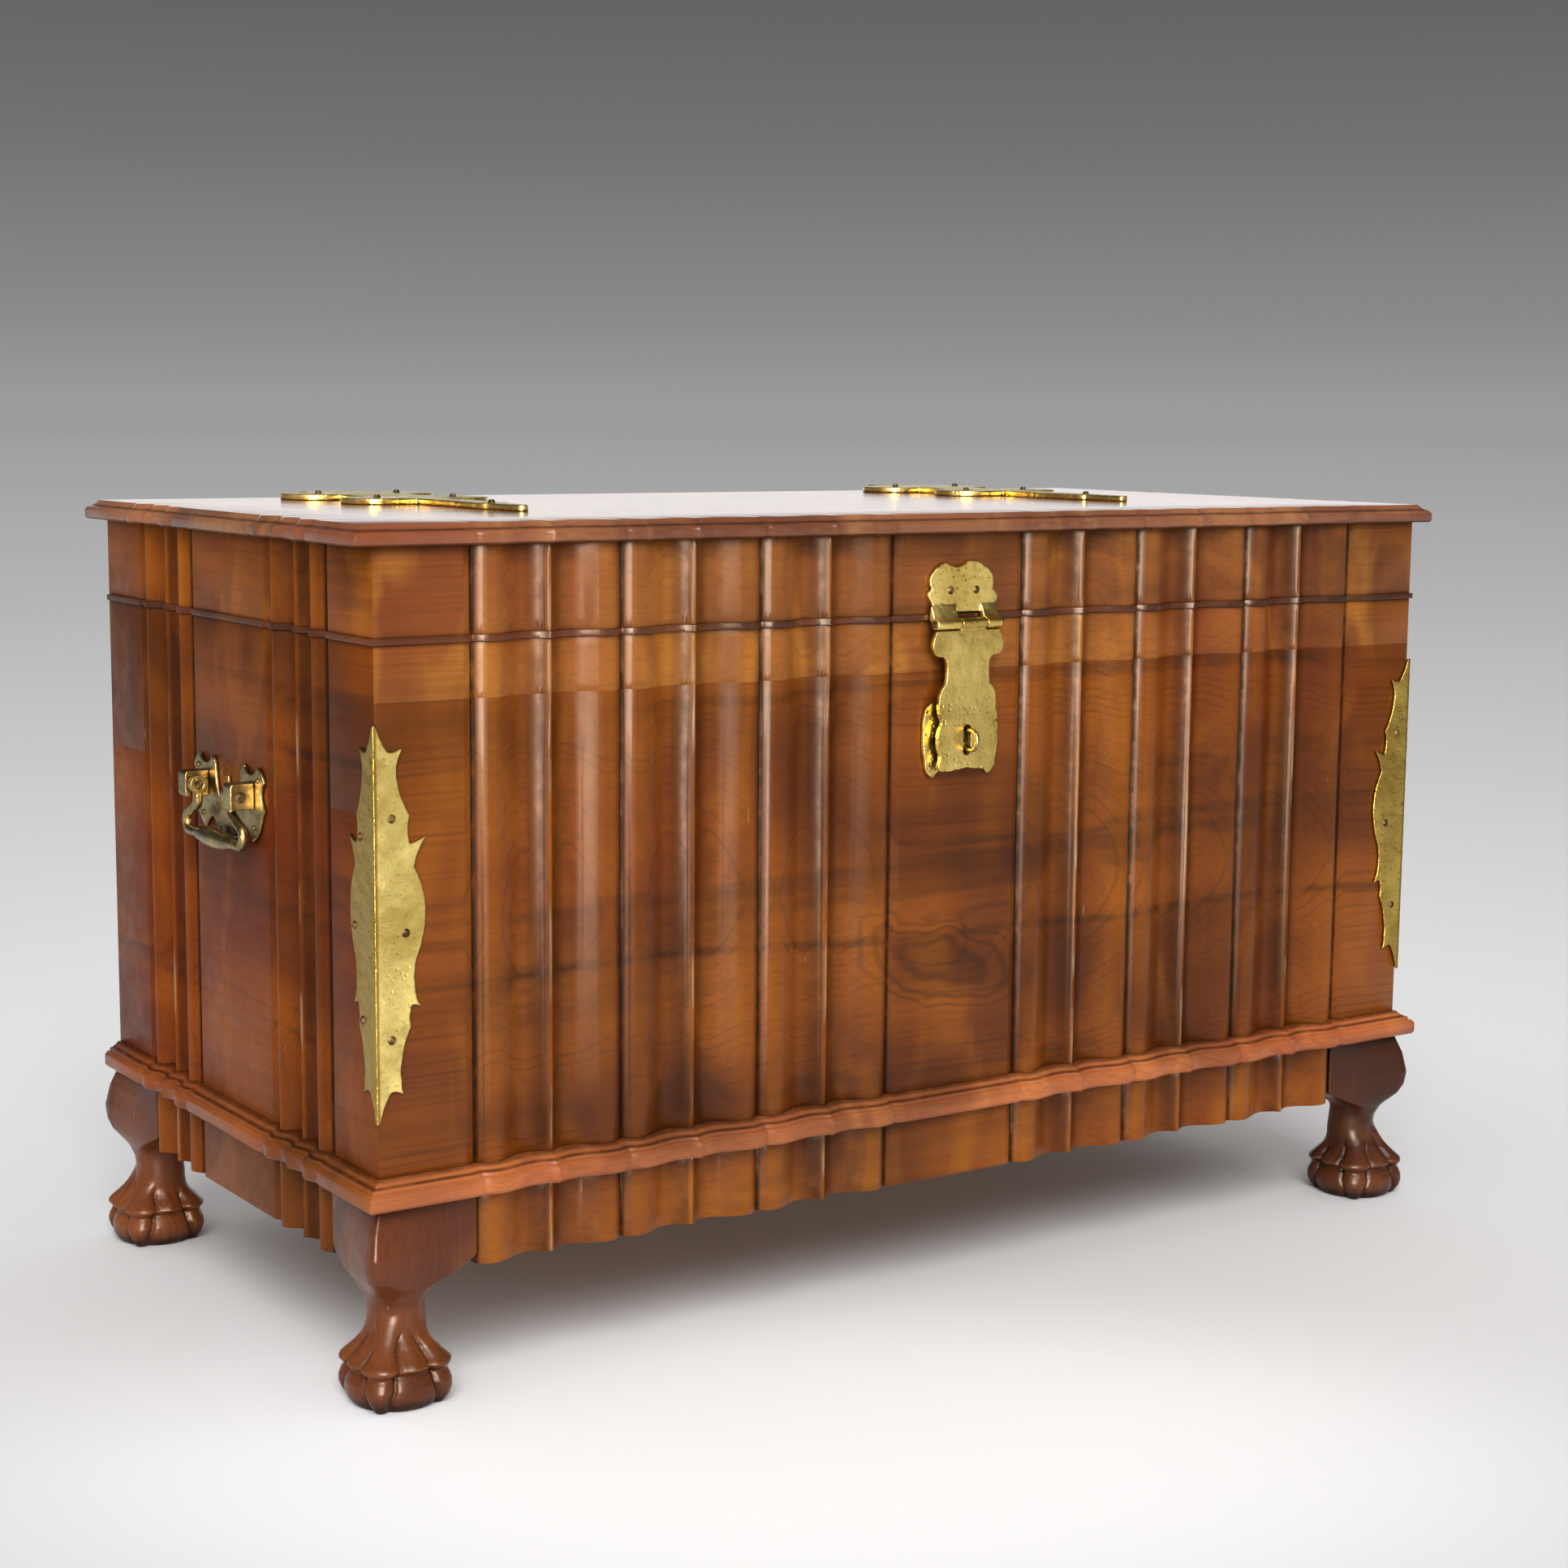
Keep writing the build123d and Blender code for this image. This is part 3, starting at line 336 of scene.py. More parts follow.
def brass(name, light=(255, 234, 146), dark=(220, 190, 102), pits=0.3, hammer=0.6, pitted_below=None,
          painted_shade_side=False):
    """Old cast brass, polished on its faces, brown in its pits and corners."""
    s = new_material(name)
    place = s.add("TexCoord").outputs["Object"]
    clouds = s.noise(place, 26.0, 4.0, 0.6)
    dents = s.cells(place, 85.0)
    specks = s.noise(place, 420.0, 3.0, 0.6)
    craters = s.cells(place, 210.0, 0.3)
    patches = s.ramp(s.noise(place, 14.0, 2.0), 0.35, 0.7)
    pitted = s.math("MULTIPLY", s.math("MULTIPLY", s.ramp(craters, 0.34, 0.12), patches), pits)
    if pitted_below:
        height = s.add("SeparateXYZ", {0: place}).outputs["Z"]
        pitted = s.math("MULTIPLY", pitted, s.ramp(height, pitted_below + 0.012, pitted_below - 0.012,
                                                   0.08, 1.0))
    hollow = s.add("AmbientOcclusion", {"Distance": 0.008}, samples=6).outputs["AO"]
    colour = s.mix(s.ramp(clouds, 0.3, 0.7), paint(*dark), paint(*light))
    colour = s.mix(s.ramp(specks, 0.55, 0.72, 0.0, 0.40), colour, paint(120, 92, 42))
    colour = s.mix(s.math("MULTIPLY", pitted, 0.7), colour, paint(84, 60, 26))
    colour = s.mix(s.ramp(hollow, 0.70, 0.20, 0.0, 0.85), colour, paint(62, 42, 20))
    ridge = s.add("NewGeometry").outputs["Pointiness"]
    colour = s.mix(s.ramp(ridge, 0.52, 0.60, 0.0, 0.6), colour, paint(128, 102, 48))
    # Painted shade: the side facets of the corner mounts are a darker, browner brass.
    if painted_shade_side:
        aside = s.math("ABSOLUTE", s.add("SeparateXYZ", {0: place}).outputs["X"])
        colour = s.mix(s.ramp(aside, 0.4990, 0.5006, 0.0, 0.80), colour, paint(142, 110, 34))
    rough = s.ramp(s.math("ADD", clouds, s.math("MULTIPLY", pitted, 0.4)), 0.3, 0.9, 0.24, 0.50)
    ground = s.bump(dents, 0.0012, hammer)
    worn = s.bump(s.noise(place, 170.0, 4.0, 0.65), 0.0005, 0.5, ground)
    normal = s.bump(s.math("MULTIPLY", pitted, -1.0), 0.0011, 0.8, worn)
    shade = s.add("BsdfPrincipled", {"Base Color": colour, "Metallic": 1.0, "Roughness": rough,
                                     "Normal": normal})
    return s.surface(shade.outputs[0])


def iron(name, light=(126, 104, 66), dark=(62, 46, 30)):
    """Dull hand-made nails and pins."""
    s = new_material(name)
    place = s.add("TexCoord").outputs["Object"]
    clouds = s.noise(place, 300.0, 4.0, 0.6)
    colour = s.mix(s.ramp(clouds, 0.35, 0.65), paint(*dark), paint(*light))
    rough = s.ramp(clouds, 0.3, 0.7, 0.38, 0.62)
    normal = s.bump(clouds, 0.0006, 0.6)
    shade = s.add("BsdfPrincipled", {"Base Color": colour, "Metallic": 0.85, "Roughness": rough,
                                     "Normal": normal})
    return s.surface(shade.outputs[0])


# ------------------------------------------------------------------ finishes of the wooden nodes
def wear_woods():
    """Gives each board its own piece of timber."""
    woods = {
        ("front_board_lower",): dict(
            axes="XYZ", pith=(-0.14, 0.33), light=(144, 75, 17), dark=(98, 46, 9),
            grooves=FRONT_FACE, rings=0.30,
            swirl=dict(along=-0.012, across=0.268, length=0.060, width=0.030, rise=0.020),
            streak=dict(level=0.290, tilt=0.022, width=0.0035)),
        ("front_board_upper",): dict(
            axes="XYZ", pith=(-0.10, 0.60), light=(168, 98, 38), dark=(124, 66, 24),
            grooves=FRONT_FACE, figure=0.6, streaks=0.25),
        ("lid_rail_front",): dict(
            axes="XYZ", pith=(-0.16, 0.52), light=(166, 96, 40), dark=(116, 62, 28),
            grooves=FRONT_FACE, figure=0.5, streaks=0.35, tilt=-0.02),
        ("apron_front",): dict(
            axes="XYZ", pith=(-0.15, 0.02), light=(152, 82, 18), dark=(102, 51, 14),
            grooves=FRONT_FACE, figure=0.45, streaks=0.35),
        ("base_rail_front",): dict(
            axes="XYZ", pith=(-0.17, 0.10), light=(200, 114, 62), dark=(144, 80, 44), polish=0.5,
            figure=0.3, streaks=0.3, quirks=BASE_QUIRKS),
        ("left_board_lower", "right_board_lower"): dict(
            axes="YXZ", pith=(-0.40, 0.22), light=(146, 72, 11), dark=(102, 46, 8), polish=0.11,
            grooves=SIDE_FACE, figure=0.3),
        ("left_board_upper", "right_board_upper"): dict(
            axes="YXZ", pith=(-0.38, 0.56), light=(138, 68, 10), dark=(92, 42, 6), polish=0.11,
            grooves=SIDE_FACE, figure=0.35, streaks=0.7),
        ("lid_rail_left", "lid_rail_right"): dict(
            axes="YXZ", pith=(-0.40, 0.66), light=(164, 86, 14), dark=(118, 57, 10), polish=0.13,
            grooves=SIDE_FACE, figure=0.45),
        ("apron_left", "apron_right"): dict(
            axes="YXZ", pith=(-0.42, 0.02), light=(146, 76, 14), dark=(102, 51, 10), polish=0.13,
            grooves=SIDE_FACE),
        ("base_rail_left", "base_rail_right"): dict(
            axes="YXZ", pith=(-0.42, 0.10), light=(164, 86, 34), dark=(114, 60, 22), polish=0.4,
            streaks=0.3, quirks=BASE_QUIRKS),
        ("lid_board",): dict(
            axes="XZY", pith=(0.45, 0.05), light=(172, 108, 70), dark=(126, 74, 48), gloss=0.13,
            polish=0.9, quirks=LID_QUIRKS, shiny_above=LID_UNDERSIDE),
        ("lid_lip_front",): dict(
            axes="XYZ", pith=(-0.20, 0.50), light=(120, 66, 36), dark=(82, 44, 25), polish=0.5),
        ("lid_lip_left", "lid_lip_right"): dict(
            axes="YXZ", pith=(-0.40, 0.50), light=(116, 62, 32), dark=(78, 41, 23)),
        ("back_board", "apron_back", "lid_rail_back", "base_rail_back"): dict(
            axes="XYZ", pith=(0.40, 0.30), light=(140, 88, 54), dark=(98, 58, 34), gloss=0.4),
        ("bottom_boards", "glue_blocks"): dict(
            axes="XZY", pith=(-0.20, 0.10), light=(176, 132, 88), dark=(134, 94, 58), gloss=0.5),
    }
    for names, settings in woods.items():
        material = wood("wood_" + names[0], **settings)
        for name in names:
            coat(nodes[name], material)


def coat(piece, material):
    """The same material on every slot of a piece."""
    mesh = piece.data
    if not mesh.materials:
        mesh.materials.append(None)
    for i in range(len(mesh.materials)):
        mesh.materials[i] = material


# ------------------------------------------------------------------ worn copies of hard pieces
def link(item):
    bpy.context.scene.collection.objects.link(item)
    return item


def smooth_shaded(mesh):
    mesh.polygons.foreach_set("use_smooth", [True] * len(mesh.polygons))
    return mesh


def add_piece(name, mesh, body, node, material):
    """A new piece in the scene that stands for a CAD node."""
    piece = link(bpy.data.objects.new(name, mesh))
    coat(piece, material)
    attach(piece, body)
    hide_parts(node)
    return piece


def remeshed(source, voxel, relax):
    """The mesh of an object with its arrises rounded as hand work and wear round them."""
    worker = link(bpy.data.objects.new("worker", source.data.copy()))
    remesh = worker.modifiers.new("remesh", "REMESH")
    remesh.mode, remesh.voxel_size = "VOXEL", voxel
    smooth = worker.modifiers.new("smooth", "SMOOTH")
    smooth.factor, smooth.iterations = 0.5, relax
    ready = worker.evaluated_get(bpy.context.evaluated_depsgraph_get())
    mesh = bpy.data.meshes.new_from_object(ready)
    bpy.data.objects.remove(worker)
    return smooth_shaded(mesh)


def rows(items, key):
    """One three-part attribute of all the items as an array of rows."""
    values = np.empty(len(items) * 3, dtype=np.float32)
    items.foreach_get(key, values)
    return values.reshape(-1, 3)


def move_to(mesh, places):
    mesh.vertices.foreach_set("co", places.ravel())
    mesh.update()


def dented(mesh, depth, size):
    """Presses shallow dents into a mesh."""
    places = rows(mesh.vertices, "co")
    normals = rows(mesh.vertex_normals, "vector")
    push = [max(0.0, noise.noise(Vector(place) / size) + 0.5 * noise.noise(Vector(place) * 2.3 / size))
            for place in places]
    places -= normals * np.array(push, dtype=np.float32)[:, None] * depth
    move_to(mesh, places)


def bored(mesh, pin, radius):
    """Opens the hole round a pin along X to a true radius, so that the piece turns freely on it."""
    ends = rows(nodes[pin].data.vertices, "co")
    middle = (ends.min(axis=0) + ends.max(axis=0))[1:] / 2
    places = rows(mesh.vertices, "co")
    apart = places[:, 1:] - middle
    far = np.hypot(apart[:, 0], apart[:, 1])
    near = far < radius
    places[near, 1:] = middle + apart[near] * (radius / far[near])[:, None]
    move_to(mesh, places)


def round_edge(where, axis):
    """The four cells that share each edge of the grid along an axis."""
    one, two = (axis + 1) % 3, (axis + 2) % 3
    for i, j in ((0, 0), (1, 0), (1, 1), (0, 1)):
        cell = where.copy()
        cell[:, one] -= i
        cell[:, two] -= j
        yield tuple(cell.T)


def skin(field, low, step):
    """Faces round the part of a field of values that is below zero, one corner in each cell it cuts."""
    cells = tuple(n - 1 for n in field.shape)
    total, count = np.zeros(cells + (3,)), np.zeros(cells)
    index = np.stack(np.meshgrid(*(np.arange(n) for n in field.shape), indexing="ij"), -1).astype(float)
    cuts = []
    for axis in range(3):
        near = tuple(slice(0, -1) if i == axis else slice(None) for i in range(3))
        far = tuple(slice(1, None) if i == axis else slice(None) for i in range(3))
        a, b = field[near], field[far]
        where = np.argwhere((a < 0) != (b < 0))
        start, end = a[tuple(where.T)], b[tuple(where.T)]
        points = index[near][tuple(where.T)]
        points[:, axis] += start / (start - end)
        cuts.append((axis, where, start < 0))
        for cell in round_edge(where, axis):
            np.add.at(total, cell, points)
            np.add.at(count, cell, 1)
    used = count > 0
    number = np.cumsum(used.ravel()).reshape(cells) - 1
    verts = total[used] / count[used][:, None] * step + np.array(low)
    faces = []
    for axis, where, outward in cuts:
        quads = np.stack([number[cell] for cell in round_edge(where, axis)], -1)
        quads[~outward] = quads[~outward][:, ::-1]
        faces.append(quads)
    return verts, np.concatenate(faces)


def rounded(a, b, radius):
    """Distance to the corner between two faces, with the arris rounded."""
    outside = np.hypot(np.maximum(a + radius, 0), np.maximum(b + radius, 0))
    return outside - radius + np.minimum(np.maximum(a, b) + radius, 0)


def leg_field(p, q, z):
    """Cabriole leg with a claw and ball, in mm: p and q inwards from the case's two faces, z up."""
    def level(*pairs):
        heights, values = zip(*sorted(pairs))
        return np.interp(z, heights, values)

    swell = level((147, 1.5), (140, 4.2), (129, 8.3), (112, 12.0), (101, 11.6), (93, 9.2), (87, 5.4),
                  (80, 0.0), (72, -3.6), (60, -5.2), (50, -5.0), (40, -4.0))
    ear = level((102, 76), (99, 73), (94, 62), (90, 53), (86, 46), (82, 42), (77, 41), (58, 42.5))
    outer = level((147, 2.0), (130, 3.0), (112, 5.5), (100, 9.0), (92, 13.0), (85, 18.0), (58, 18.6))
    inner = level((101, 0.6), (96, 2.0), (91, 6.0), (86, 12.0), (80, 17.5), (58, 18.6))
    side = level((96, 0.6), (90, 2.0), (85, 7.0), (80, 13.0), (74, 18.0), (58, 18.6))
    wide, deep = 76, 79         # the block under the case
    front = -(q + swell * np.clip(1 - p / wide, 0, 1))
    flank = -(p + swell * np.clip(1 - q / deep, 0, 1))
    ends = rounded(p - ear, q - ear * (deep / wide), inner)
    column = rounded(rounded(front, flank, outer), ends, side)
    column = np.maximum(column, 40 - z)

    x, y = p - 20, q - 20
    turn = np.degrees(np.arctan2(y, x))
    aside = np.abs((turn - 45 + 45) % 90 - 45)
    toe = level((64, 14), (58, 18.0), (52, 21.5), (47, 25.0), (42, 29.6), (38, 34.0), (35, 37.6),
                (32.5, 40.2), (30, 41.0), (27.5, 39.4), (25, 37.4), (22, 39.4), (17, 41.4), (12, 41.6),
                (7, 40.0), (3, 37.0), (0, 34.5))
    web = level((64, 12), (58, 14.5), (52, 17.0), (47, 19.6), (42, 23.4), (38, 27.4), (34.5, 31.2),
                (32, 33.6), (30, 34.6), (28, 32.6), (26, 30.8), (23, 33.0), (17, 35.7), (11, 35.9),
                (7, 35.0), (3, 32.6), (0, 29.5))
    width = level((60, 34), (50, 22), (42, 16), (35, 17), (31, 20), (26, 14), (17, 14), (8, 10), (0, 7))
    ridge = np.sqrt(np.clip(1 - (aside / (1.25 * width)) ** 2, 0, 1))
    fold = level((52, 0), (44, 1.6), (34, 2.6), (30, 2.0), (27, 0)) * np.exp(-((45 - aside) / 8) ** 2)
    crease = level((60, 0), (50, 1.6), (34, 2.6), (27, 1.2), (16, 1.8), (4, 0.9)) * np.exp(
        -((aside - 1.25 * width) / 4) ** 2)
    foot = np.hypot(x, y) - (web + (toe - web) * ridge + fold - crease)
    foot = np.maximum(foot, z - 62)
    blend = np.clip(0.5 + 0.5 * (foot - column) / 5, 0, 1)
    joined = foot * (1 - blend) + column * blend - 5 * blend * (1 - blend)
    return np.maximum(np.maximum(joined, -z), z - 147)


def carved_legs():
    """Four hand-carved legs: one carving, turned to each corner."""
    step, low = 1.0, (-24.0, -24.0, -1.5)
    counts = (106, 109, 151)
    grid = [start + step * np.arange(count) for start, count in zip(low, counts)]
    verts, faces = skin(leg_field(*np.meshgrid(*grid, indexing="ij")), low, step)
    timber = wood("wood_leg", axes="ZXY", pith=(-0.62, 0.10), light=(132, 70, 34), dark=(70, 35, 18),
                  figure=0.4, polish=0.42, carved=True)
    for name, across, back in (("leg_front_left", -1, -1), ("leg_front_right", 1, -1),
                               ("leg_back_left", -1, 1), ("leg_back_right", 1, 1)):
        places = np.empty_like(verts)
        places[:, 0] = across * (HALF_WIDTH - verts[:, 0] / 1000)
        places[:, 1] = CASE_Y + back * (HALF_DEPTH - verts[:, 1] / 1000)
        places[:, 2] = np.clip(verts[:, 2] / 1000, 0, LEG_HEIGHT)
        mesh = bpy.data.meshes.new(name)
        mesh.from_pydata(places.tolist(), [], (faces if across == back else faces[:, ::-1]).tolist())
        shaper = bmesh.new()
        shaper.from_mesh(mesh)
        for _ in range(2):
            soft = [v for v in shaper.verts if 0.002 < v.co.z < 0.146]
            bmesh.ops.smooth_vert(shaper, verts=soft, factor=0.5, use_axis_x=True, use_axis_y=True,
                                  use_axis_z=True)
        bmesh.ops.recalc_face_normals(shaper, faces=shaper.faces)
        shaper.to_mesh(mesh)
        shaper.free()
        smooth_shaded(mesh)
        add_piece(name + "_carved", mesh, "case", name, timber)


def wave(u, face):
    """How far the wavy face stands out at a place u along it: noses, hollows, shoulders and grooves."""
    first, width, end = face
    away = abs(u)
    if away < first or away > end:
        gap = min(abs(away - first), abs(away - end))
        return -0.004 * max(0.0, 1 - gap / 0.008)
    half = width / 2
    t = abs((away - first) % width - half)
    if t < 0.017:
        return -0.008 + 0.009 * (1 - t / 0.017) ** 2
    shoulder = half - 0.013
    if t < shoulder:
        rise = (t - 0.017) / (shoulder - 0.017)
        return -0.008 + 0.011 * rise * rise * (3 - 2 * rise)
    return 0.003 - 0.007 * ((t - shoulder) / 0.013) ** 2


def wave_marks(face):
    """Places along the face where the wave needs a column of corners."""
    first, width, end = face
    half = width / 2
    marks = [first - 0.008, end + 0.008]
    for brace in range(round((end - first) / width)):
        middle = first + width * (brace + 0.5)
        steps = [0.0, 0.0015, 0.0035, 0.006, 0.009, 0.0125, 0.017, 0.020, 0.023]
        steps += [half - gap for gap in (0.021, 0.017, 0.013, 0.0095, 0.0065, 0.004, 0.002)]
        marks += [middle + side * step for step in steps for side in (-1, 1)] + [middle - half]
    marks.append(end)
    return sorted(marks + [-mark for mark in marks])


def carve(shaper, face, along, outward, origin, levels, relief):
    """Cuts the wave into one side of a board, sharper at the noses than the plain solid."""
    for mark in wave_marks(face):
        geometry = shaper.verts[:] + shaper.edges[:] + shaper.faces[:]
        bmesh.ops.bisect_plane(shaper, geom=geometry, dist=1e-6, plane_co=origin + along * mark,
                               plane_no=along)
    heights, offsets = zip(*levels)
    for vertex in shaper.verts:
        u = vertex.co.dot(along) - origin.dot(along)
        level = float(np.interp(vertex.co.z, heights, offsets))
        out = (vertex.co - origin).dot(outward)
        if abs(u) < face[2] + 0.007 and out > level - 0.011:
            vertex.co += outward * (level + relief * wave(u, face) - out)


def carved_boards():
    """Each wavy piece: its node, sides, profile as (level, how far out), share of the wave, bevel."""
    plain = [(0.0, 0.0)]
    base = [(0.147, 0.0125), (0.149, 0.014), (0.157, 0.014), (0.1596, 0.012), (0.160, 0.010),
            (0.1624, 0.0094), (0.1628, 0.007), (0.1656, 0.0034), (0.167, 0.0024)]
    edge = [(0.604, -0.0012), (0.6058, 0.0), (0.611, 0.0), (0.6136, -0.0016), (0.6144, -0.0036),
            (0.6148, -0.005), (0.619, -0.009)]
    lip = [(0.0, 0.002)]
    all_sides = ("front", "left", "right")
    pieces = []
    for side in all_sides:
        pieces += [
            (f"{side}_board_lower", (side,), plain, 1.0, 0.0005),
            (f"{side}_board_upper", (side,), plain, 1.0, 0.0005),
            (f"apron_{side}", (side,), plain, 1.0, 0.0009),
            (f"lid_rail_{side}", (side,), plain, 1.0, 0.0005),
            (f"base_rail_{side}", (side,), base, 0.5, 0.0008),
            (f"lid_lip_{side}", (side,), lip, 1.0, 0.0008),
        ]
        if side == "front":
            pieces.append(("lid_board", all_sides, edge, 0.5, 0.0008))
    return pieces


def eased_woods():
    """Boards and mouldings with their wave cut crisply and their arrises eased."""
    x, y, middle = Vector((1, 0, 0)), Vector((0, 1, 0)), Vector((0, CASE_Y, 0))
    sides = {       # wave, way along, way out, middle of the face, overhang of the lid
        "front": (FRONT_FACE, x, -y, middle - HALF_DEPTH * y, 0.008),
        "left": (SIDE_FACE, y, -x, middle - HALF_WIDTH * x, 0.016),
        "right": (SIDE_FACE, y, x, middle + HALF_WIDTH * x, 0.016),
    }
    for node, where, levels, relief, width in carved_boards():
        source = nodes[node]
        mesh = source.data.copy()
        shaper = bmesh.new()
        shaper.from_mesh(mesh)
        bmesh.ops.remove_doubles(shaper, verts=shaper.verts, dist=0.00001)
        bmesh.ops.dissolve_limit(shaper, angle_limit=math.radians(0.3), verts=shaper.verts,
                                 edges=shaper.edges)
        for side in where:
            face, along, outward, origin, overhang = sides[side]
            shift = overhang if node == "lid_board" else 0.0
            carve(shaper, face, along, outward, origin, [(z, v + shift) for z, v in levels], relief)
        sharp = [e for e in shaper.edges
                 if len(e.link_faces) == 2 and e.calc_face_angle() > SHARP_EDGE]
        bmesh.ops.bevel(shaper, geom=sharp, offset=width, segments=2, profile=0.5, affect="EDGES",
                        clamp_overlap=True)
        shaper.to_mesh(mesh)
        shaper.free()
        smooth_shaded(mesh)
        mesh.set_sharp_from_angle(angle=math.radians(40))
        body = "lid" if node.startswith("lid") else "case"
        moulding = any(kind in node for kind in ("base_rail", "lid_lip", "lid_board"))
        add_piece(node + "_eased", mesh, body, node, source.data.materials[0])


def worn_brass():
    """Rounded, dented brasswork over the CAD nodes."""
    plain = brass("brass_plain")
    cast = brass("brass_cast", light=(190, 170, 116), dark=(104, 90, 58), pits=0.5, hammer=0.5)
    pitted = brass("brass_pitted", light=(242, 216, 126), dark=(196, 166, 86), pits=1.0, hammer=0.9)
    edge = brass("brass_corner", pits=0.35, hammer=0.8, painted_shade_side=True)
    # Painted shade: a darker copy of the corner brass for the far corner mount.
    painted_shade_brass = brass("brass_corner_painted_shade", light=(206, 178, 92), dark=(168, 138, 64), pits=0.35,
                   painted_shade_side=True)
    strap = brass("brass_strap", light=(232, 208, 124), dark=(190, 161, 84), pits=1.0, hammer=0.7,
                  pitted_below=0.478)
    pieces = [
        ("corner_mount_left", "case", edge, 0.0009, 2, 0.00025),
        ("corner_mount_right", "case", painted_shade_brass, 0.0009, 2, 0.00025),
        ("staple_plate", "case", pitted, 0.0007, 3, 0.0004),
        ("hasp_staple", "case", cast, 0.0005, 2, 0.0),
        ("handle_plate_left", "case", cast, 0.0007, 3, 0.0003),
        ("handle_plate_right", "case", cast, 0.0007, 3, 0.0003),
        ("handle_posts_left", "case", cast, 0.0006, 3, 0.0003),
        ("handle_posts_right", "case", cast, 0.0006, 3, 0.0003),
        ("hinge_strap_left", "lid", plain, 0.0009, 2, 0.0003),
        ("hinge_strap_right", "lid", plain, 0.0009, 2, 0.0003),
        ("hasp_plate", "lid", plain, 0.0007, 3, 0.0003),
        ("hasp_strap", "hasp", strap, 0.0007, 3, 0.0004),
        ("bail_left", "bail_left", cast, 0.0007, 2, 0.0),
        ("bail_right", "bail_right", cast, 0.0007, 2, 0.0),
    ]
    for node, body, material, voxel, relax, dent in pieces:
        mesh = remeshed(nodes[node], voxel, relax)
        if dent:
            dented(mesh, dent, 0.007)
        if node in ("hasp_plate", "hasp_strap"):
            bored(mesh, "hasp_pin", PIN_BORE)
        add_piece(node + "_worn", mesh, body, node, material)
    for node in ("hinge_leaf_left", "hinge_leaf_right"):
        coat(nodes[node], plain)
    dull = iron("nail_iron")
    for node in ("corner_mount_nails", "handle_pins", "handle_nails", "hinge_leaf_nails",
                 "hinge_pins", "hinge_strap_nails", "hasp_plate_nails", "hasp_pin"):
        coat(nodes[node], dull)


# ------------------------------------------------------------------ floor, light and camera
def floor():
    """A pale floor all round: greyer far away, with a painted pool of light, whitest before the chest,
    that also glows a little for seen and mirrored rays.
    """
    s = new_material("floor")
    place = s.add("TexCoord").outputs["Object"]
    split = s.add("SeparateXYZ", {0: place})
    flat = s.vector(split.outputs["X"], split.outputs["Y"], 0.0)
    away = s.add("VectorMath", {0: flat}, operation="LENGTH").outputs["Value"]
    base = s.tones(s.math("DIVIDE", away, FAR_FLOOR), [
        (metres / FAR_FLOOR, tone) for metres, tone in
        ((0, 0.82), (1.0, 0.80), (1.5, 0.73), (2.2, 0.66), (3.3, 0.59), (4.8, 0.53), (7.4, 0.465),
         (11.5, 0.42), (21.5, 0.375), (FAR_FLOOR, 0.335))])
    x, y = split.outputs["X"], split.outputs["Y"]
    sine, cosine = math.sin(VIEW_AZIMUTH), math.cos(VIEW_AZIMUTH)
    aside = s.math("DIVIDE", s.scaled_sum(x, cosine, y, -sine), 0.50)
    ahead = s.math("DIVIDE", s.math("ADD", s.scaled_sum(x, sine, y, cosine), 0.53), 0.30)
    # Painted light: a pool of light before the chest, which also glows for seen and mirrored rays.
    painted_light_pool = s.bell(s.math("ADD", s.square(aside), s.square(ahead)))
    colour = s.mix(painted_light_pool, base, WHITE)
    painted_glow = s.math("MULTIPLY", s.math("MULTIPLY", painted_light_pool, 0.07), s.eye())
    shade = s.add("BsdfPrincipled", {"Base Color": colour, "Roughness": 0.85,
                                     "Specular IOR Level": 0.0, "Emission Color": WHITE,
                                     "Emission Strength": painted_glow})
    disc = bmesh.new()
    bmesh.ops.create_circle(disc, cap_ends=True, segments=96, radius=FLOOR_RADIUS)
    mesh = bpy.data.meshes.new("floor")
    disc.to_mesh(mesh)
    disc.free()
    mesh.materials.append(s.surface(shade.outputs[0]))
    ground = link(bpy.data.objects.new("floor", mesh))


def sky():
    """Studio backdrop for the eye, plain soft light for everything else."""
    world = bpy.data.worlds.new("studio")
    bpy.context.scene.world = world
    s = Shader(world)
    up = s.add("SeparateXYZ", {0: s.add("TexCoord").outputs["Generated"]}).outputs["Z"]
    tones = s.tones(s.ramp(up, -0.02, 0.30, smooth=False), [
        (0.0, 0.345), (0.0625, 0.330), (0.156, 0.257), (0.344, 0.171), (0.52, 0.122), (1.0, 0.09)])
    seen = s.add("Background", {"Color": tones, "Strength": 1.0})
    soft = s.ramp(up, -0.05, 0.6, 0.62, 0.58)
    light = s.add("Background", {"Color": s.vector(soft, soft, soft), "Strength": 1.0})
    both = s.add("MixShader", {0: s.eye(), 1: light.outputs[0], 2: seen.outputs[0]})
    s.surface(both.outputs[0], "OutputWorld")


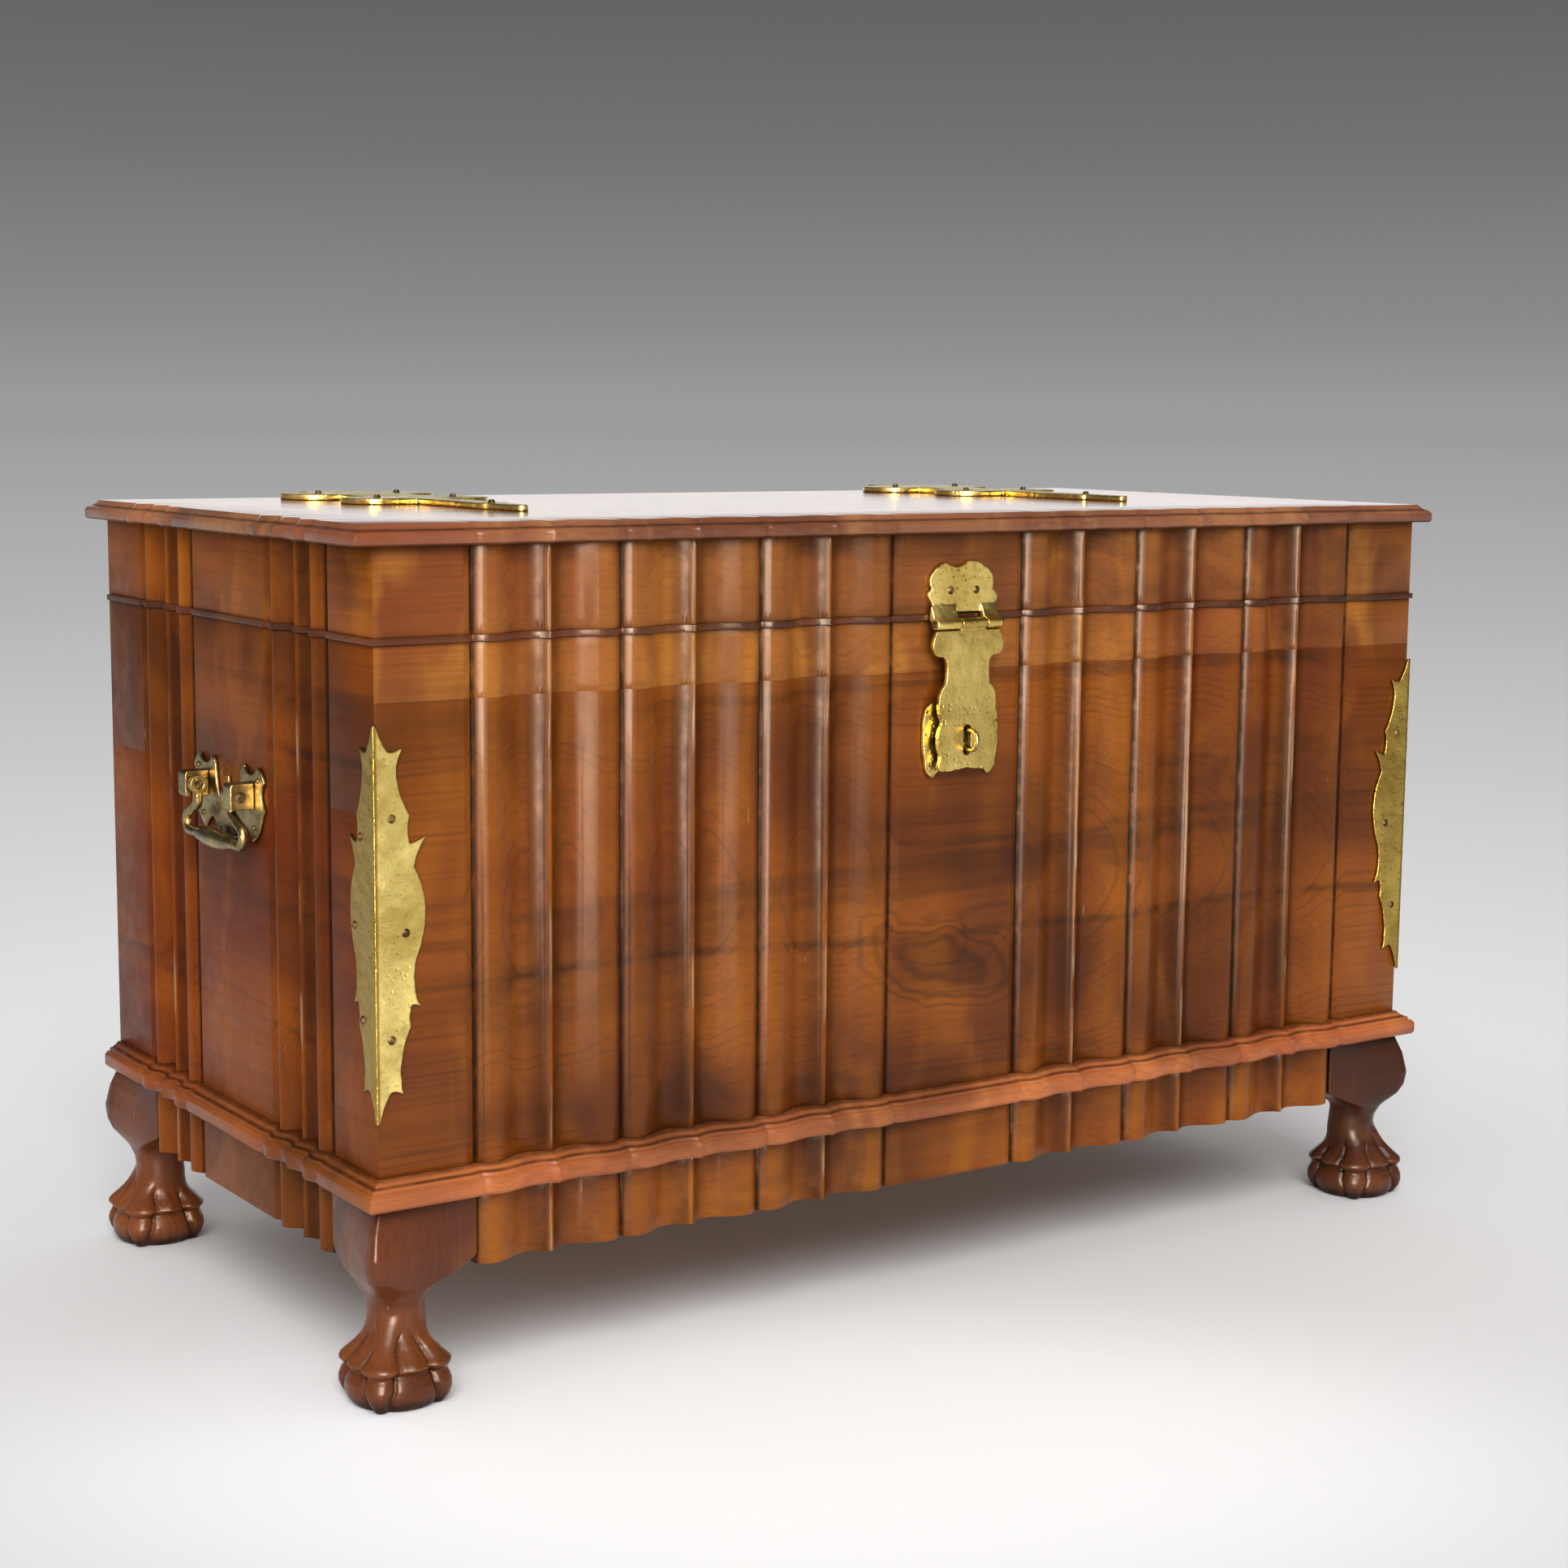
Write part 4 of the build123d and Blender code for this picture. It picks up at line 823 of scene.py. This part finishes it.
def aim(item, target):
    direction = Vector(target) - item.location
    item.rotation_euler = direction.to_track_quat("-Z", "Y").to_euler()


def lamps():
    """A wide key from the front left and soft panels that draw the long highlights."""
    key = bpy.data.lights.new("key", "SUN")
    key.energy = 1.9
    key.angle = math.radians(35)
    items = [(bpy.data.objects.new("key", key), (-1.6, -2.6, 3.2))]
    panels = [
        ("front", (-2.3, -2.9, 0.95), (1.2, 1.9), 285, (1.0, 0.82, 0.62)),
        ("fill", (1.9, -3.6, 1.2), (2.2, 2.2), 8, (1.0, 0.85, 0.68)),
        ("left", (-3.6, -0.6, 2.0), (1.2, 2.0), 6, (1.0, 0.85, 0.68)),
        ("rim", (3.4, 4.6, 1.0), (7.0, 2.0), 40, (1.0, 1.0, 1.0)),
    ]
    for name, place, (width, height), energy, tint in panels:
        lamp = bpy.data.lights.new(name, "AREA")
        lamp.color = tint
        lamp.shape, lamp.size, lamp.size_y = "RECTANGLE", width, height
        lamp.energy = energy
        item = bpy.data.objects.new(name, lamp)
        item.visible_camera = item.visible_diffuse = False
        items.append((item, place))
    for item, place in items:
        link(item).location = place
        aim(item, (0.0, 0.0, 0.4))


def camera():
    """Eye-level view from the front left corner."""
    azimuth, tilt, roll = VIEW_AZIMUTH, math.radians(7.943), math.radians(0.516)
    ahead = Vector((math.sin(azimuth) * math.cos(tilt), math.cos(azimuth) * math.cos(tilt),
                    -math.sin(tilt)))
    right = Vector((math.cos(azimuth), -math.sin(azimuth), 0))
    up = right.cross(ahead)
    turned_right = math.cos(roll) * right + math.sin(roll) * up
    turned_up = turned_right.cross(ahead)
    lens = bpy.data.cameras.new("camera")
    lens.sensor_width = 36
    lens.lens = 62.25
    item = bpy.data.objects.new("camera", lens)
    item.matrix_world = (Matrix.Translation((-1.2985, -1.89825, 0.6999))
                         @ Matrix((turned_right, turned_up, -ahead)).transposed().to_4x4())
    bpy.context.scene.camera = link(item)


camera()
wear_woods()
eased_woods()
carved_legs()
worn_brass()
floor()
sky()
lamps()
bpy.context.scene.view_settings.view_transform = "Standard"
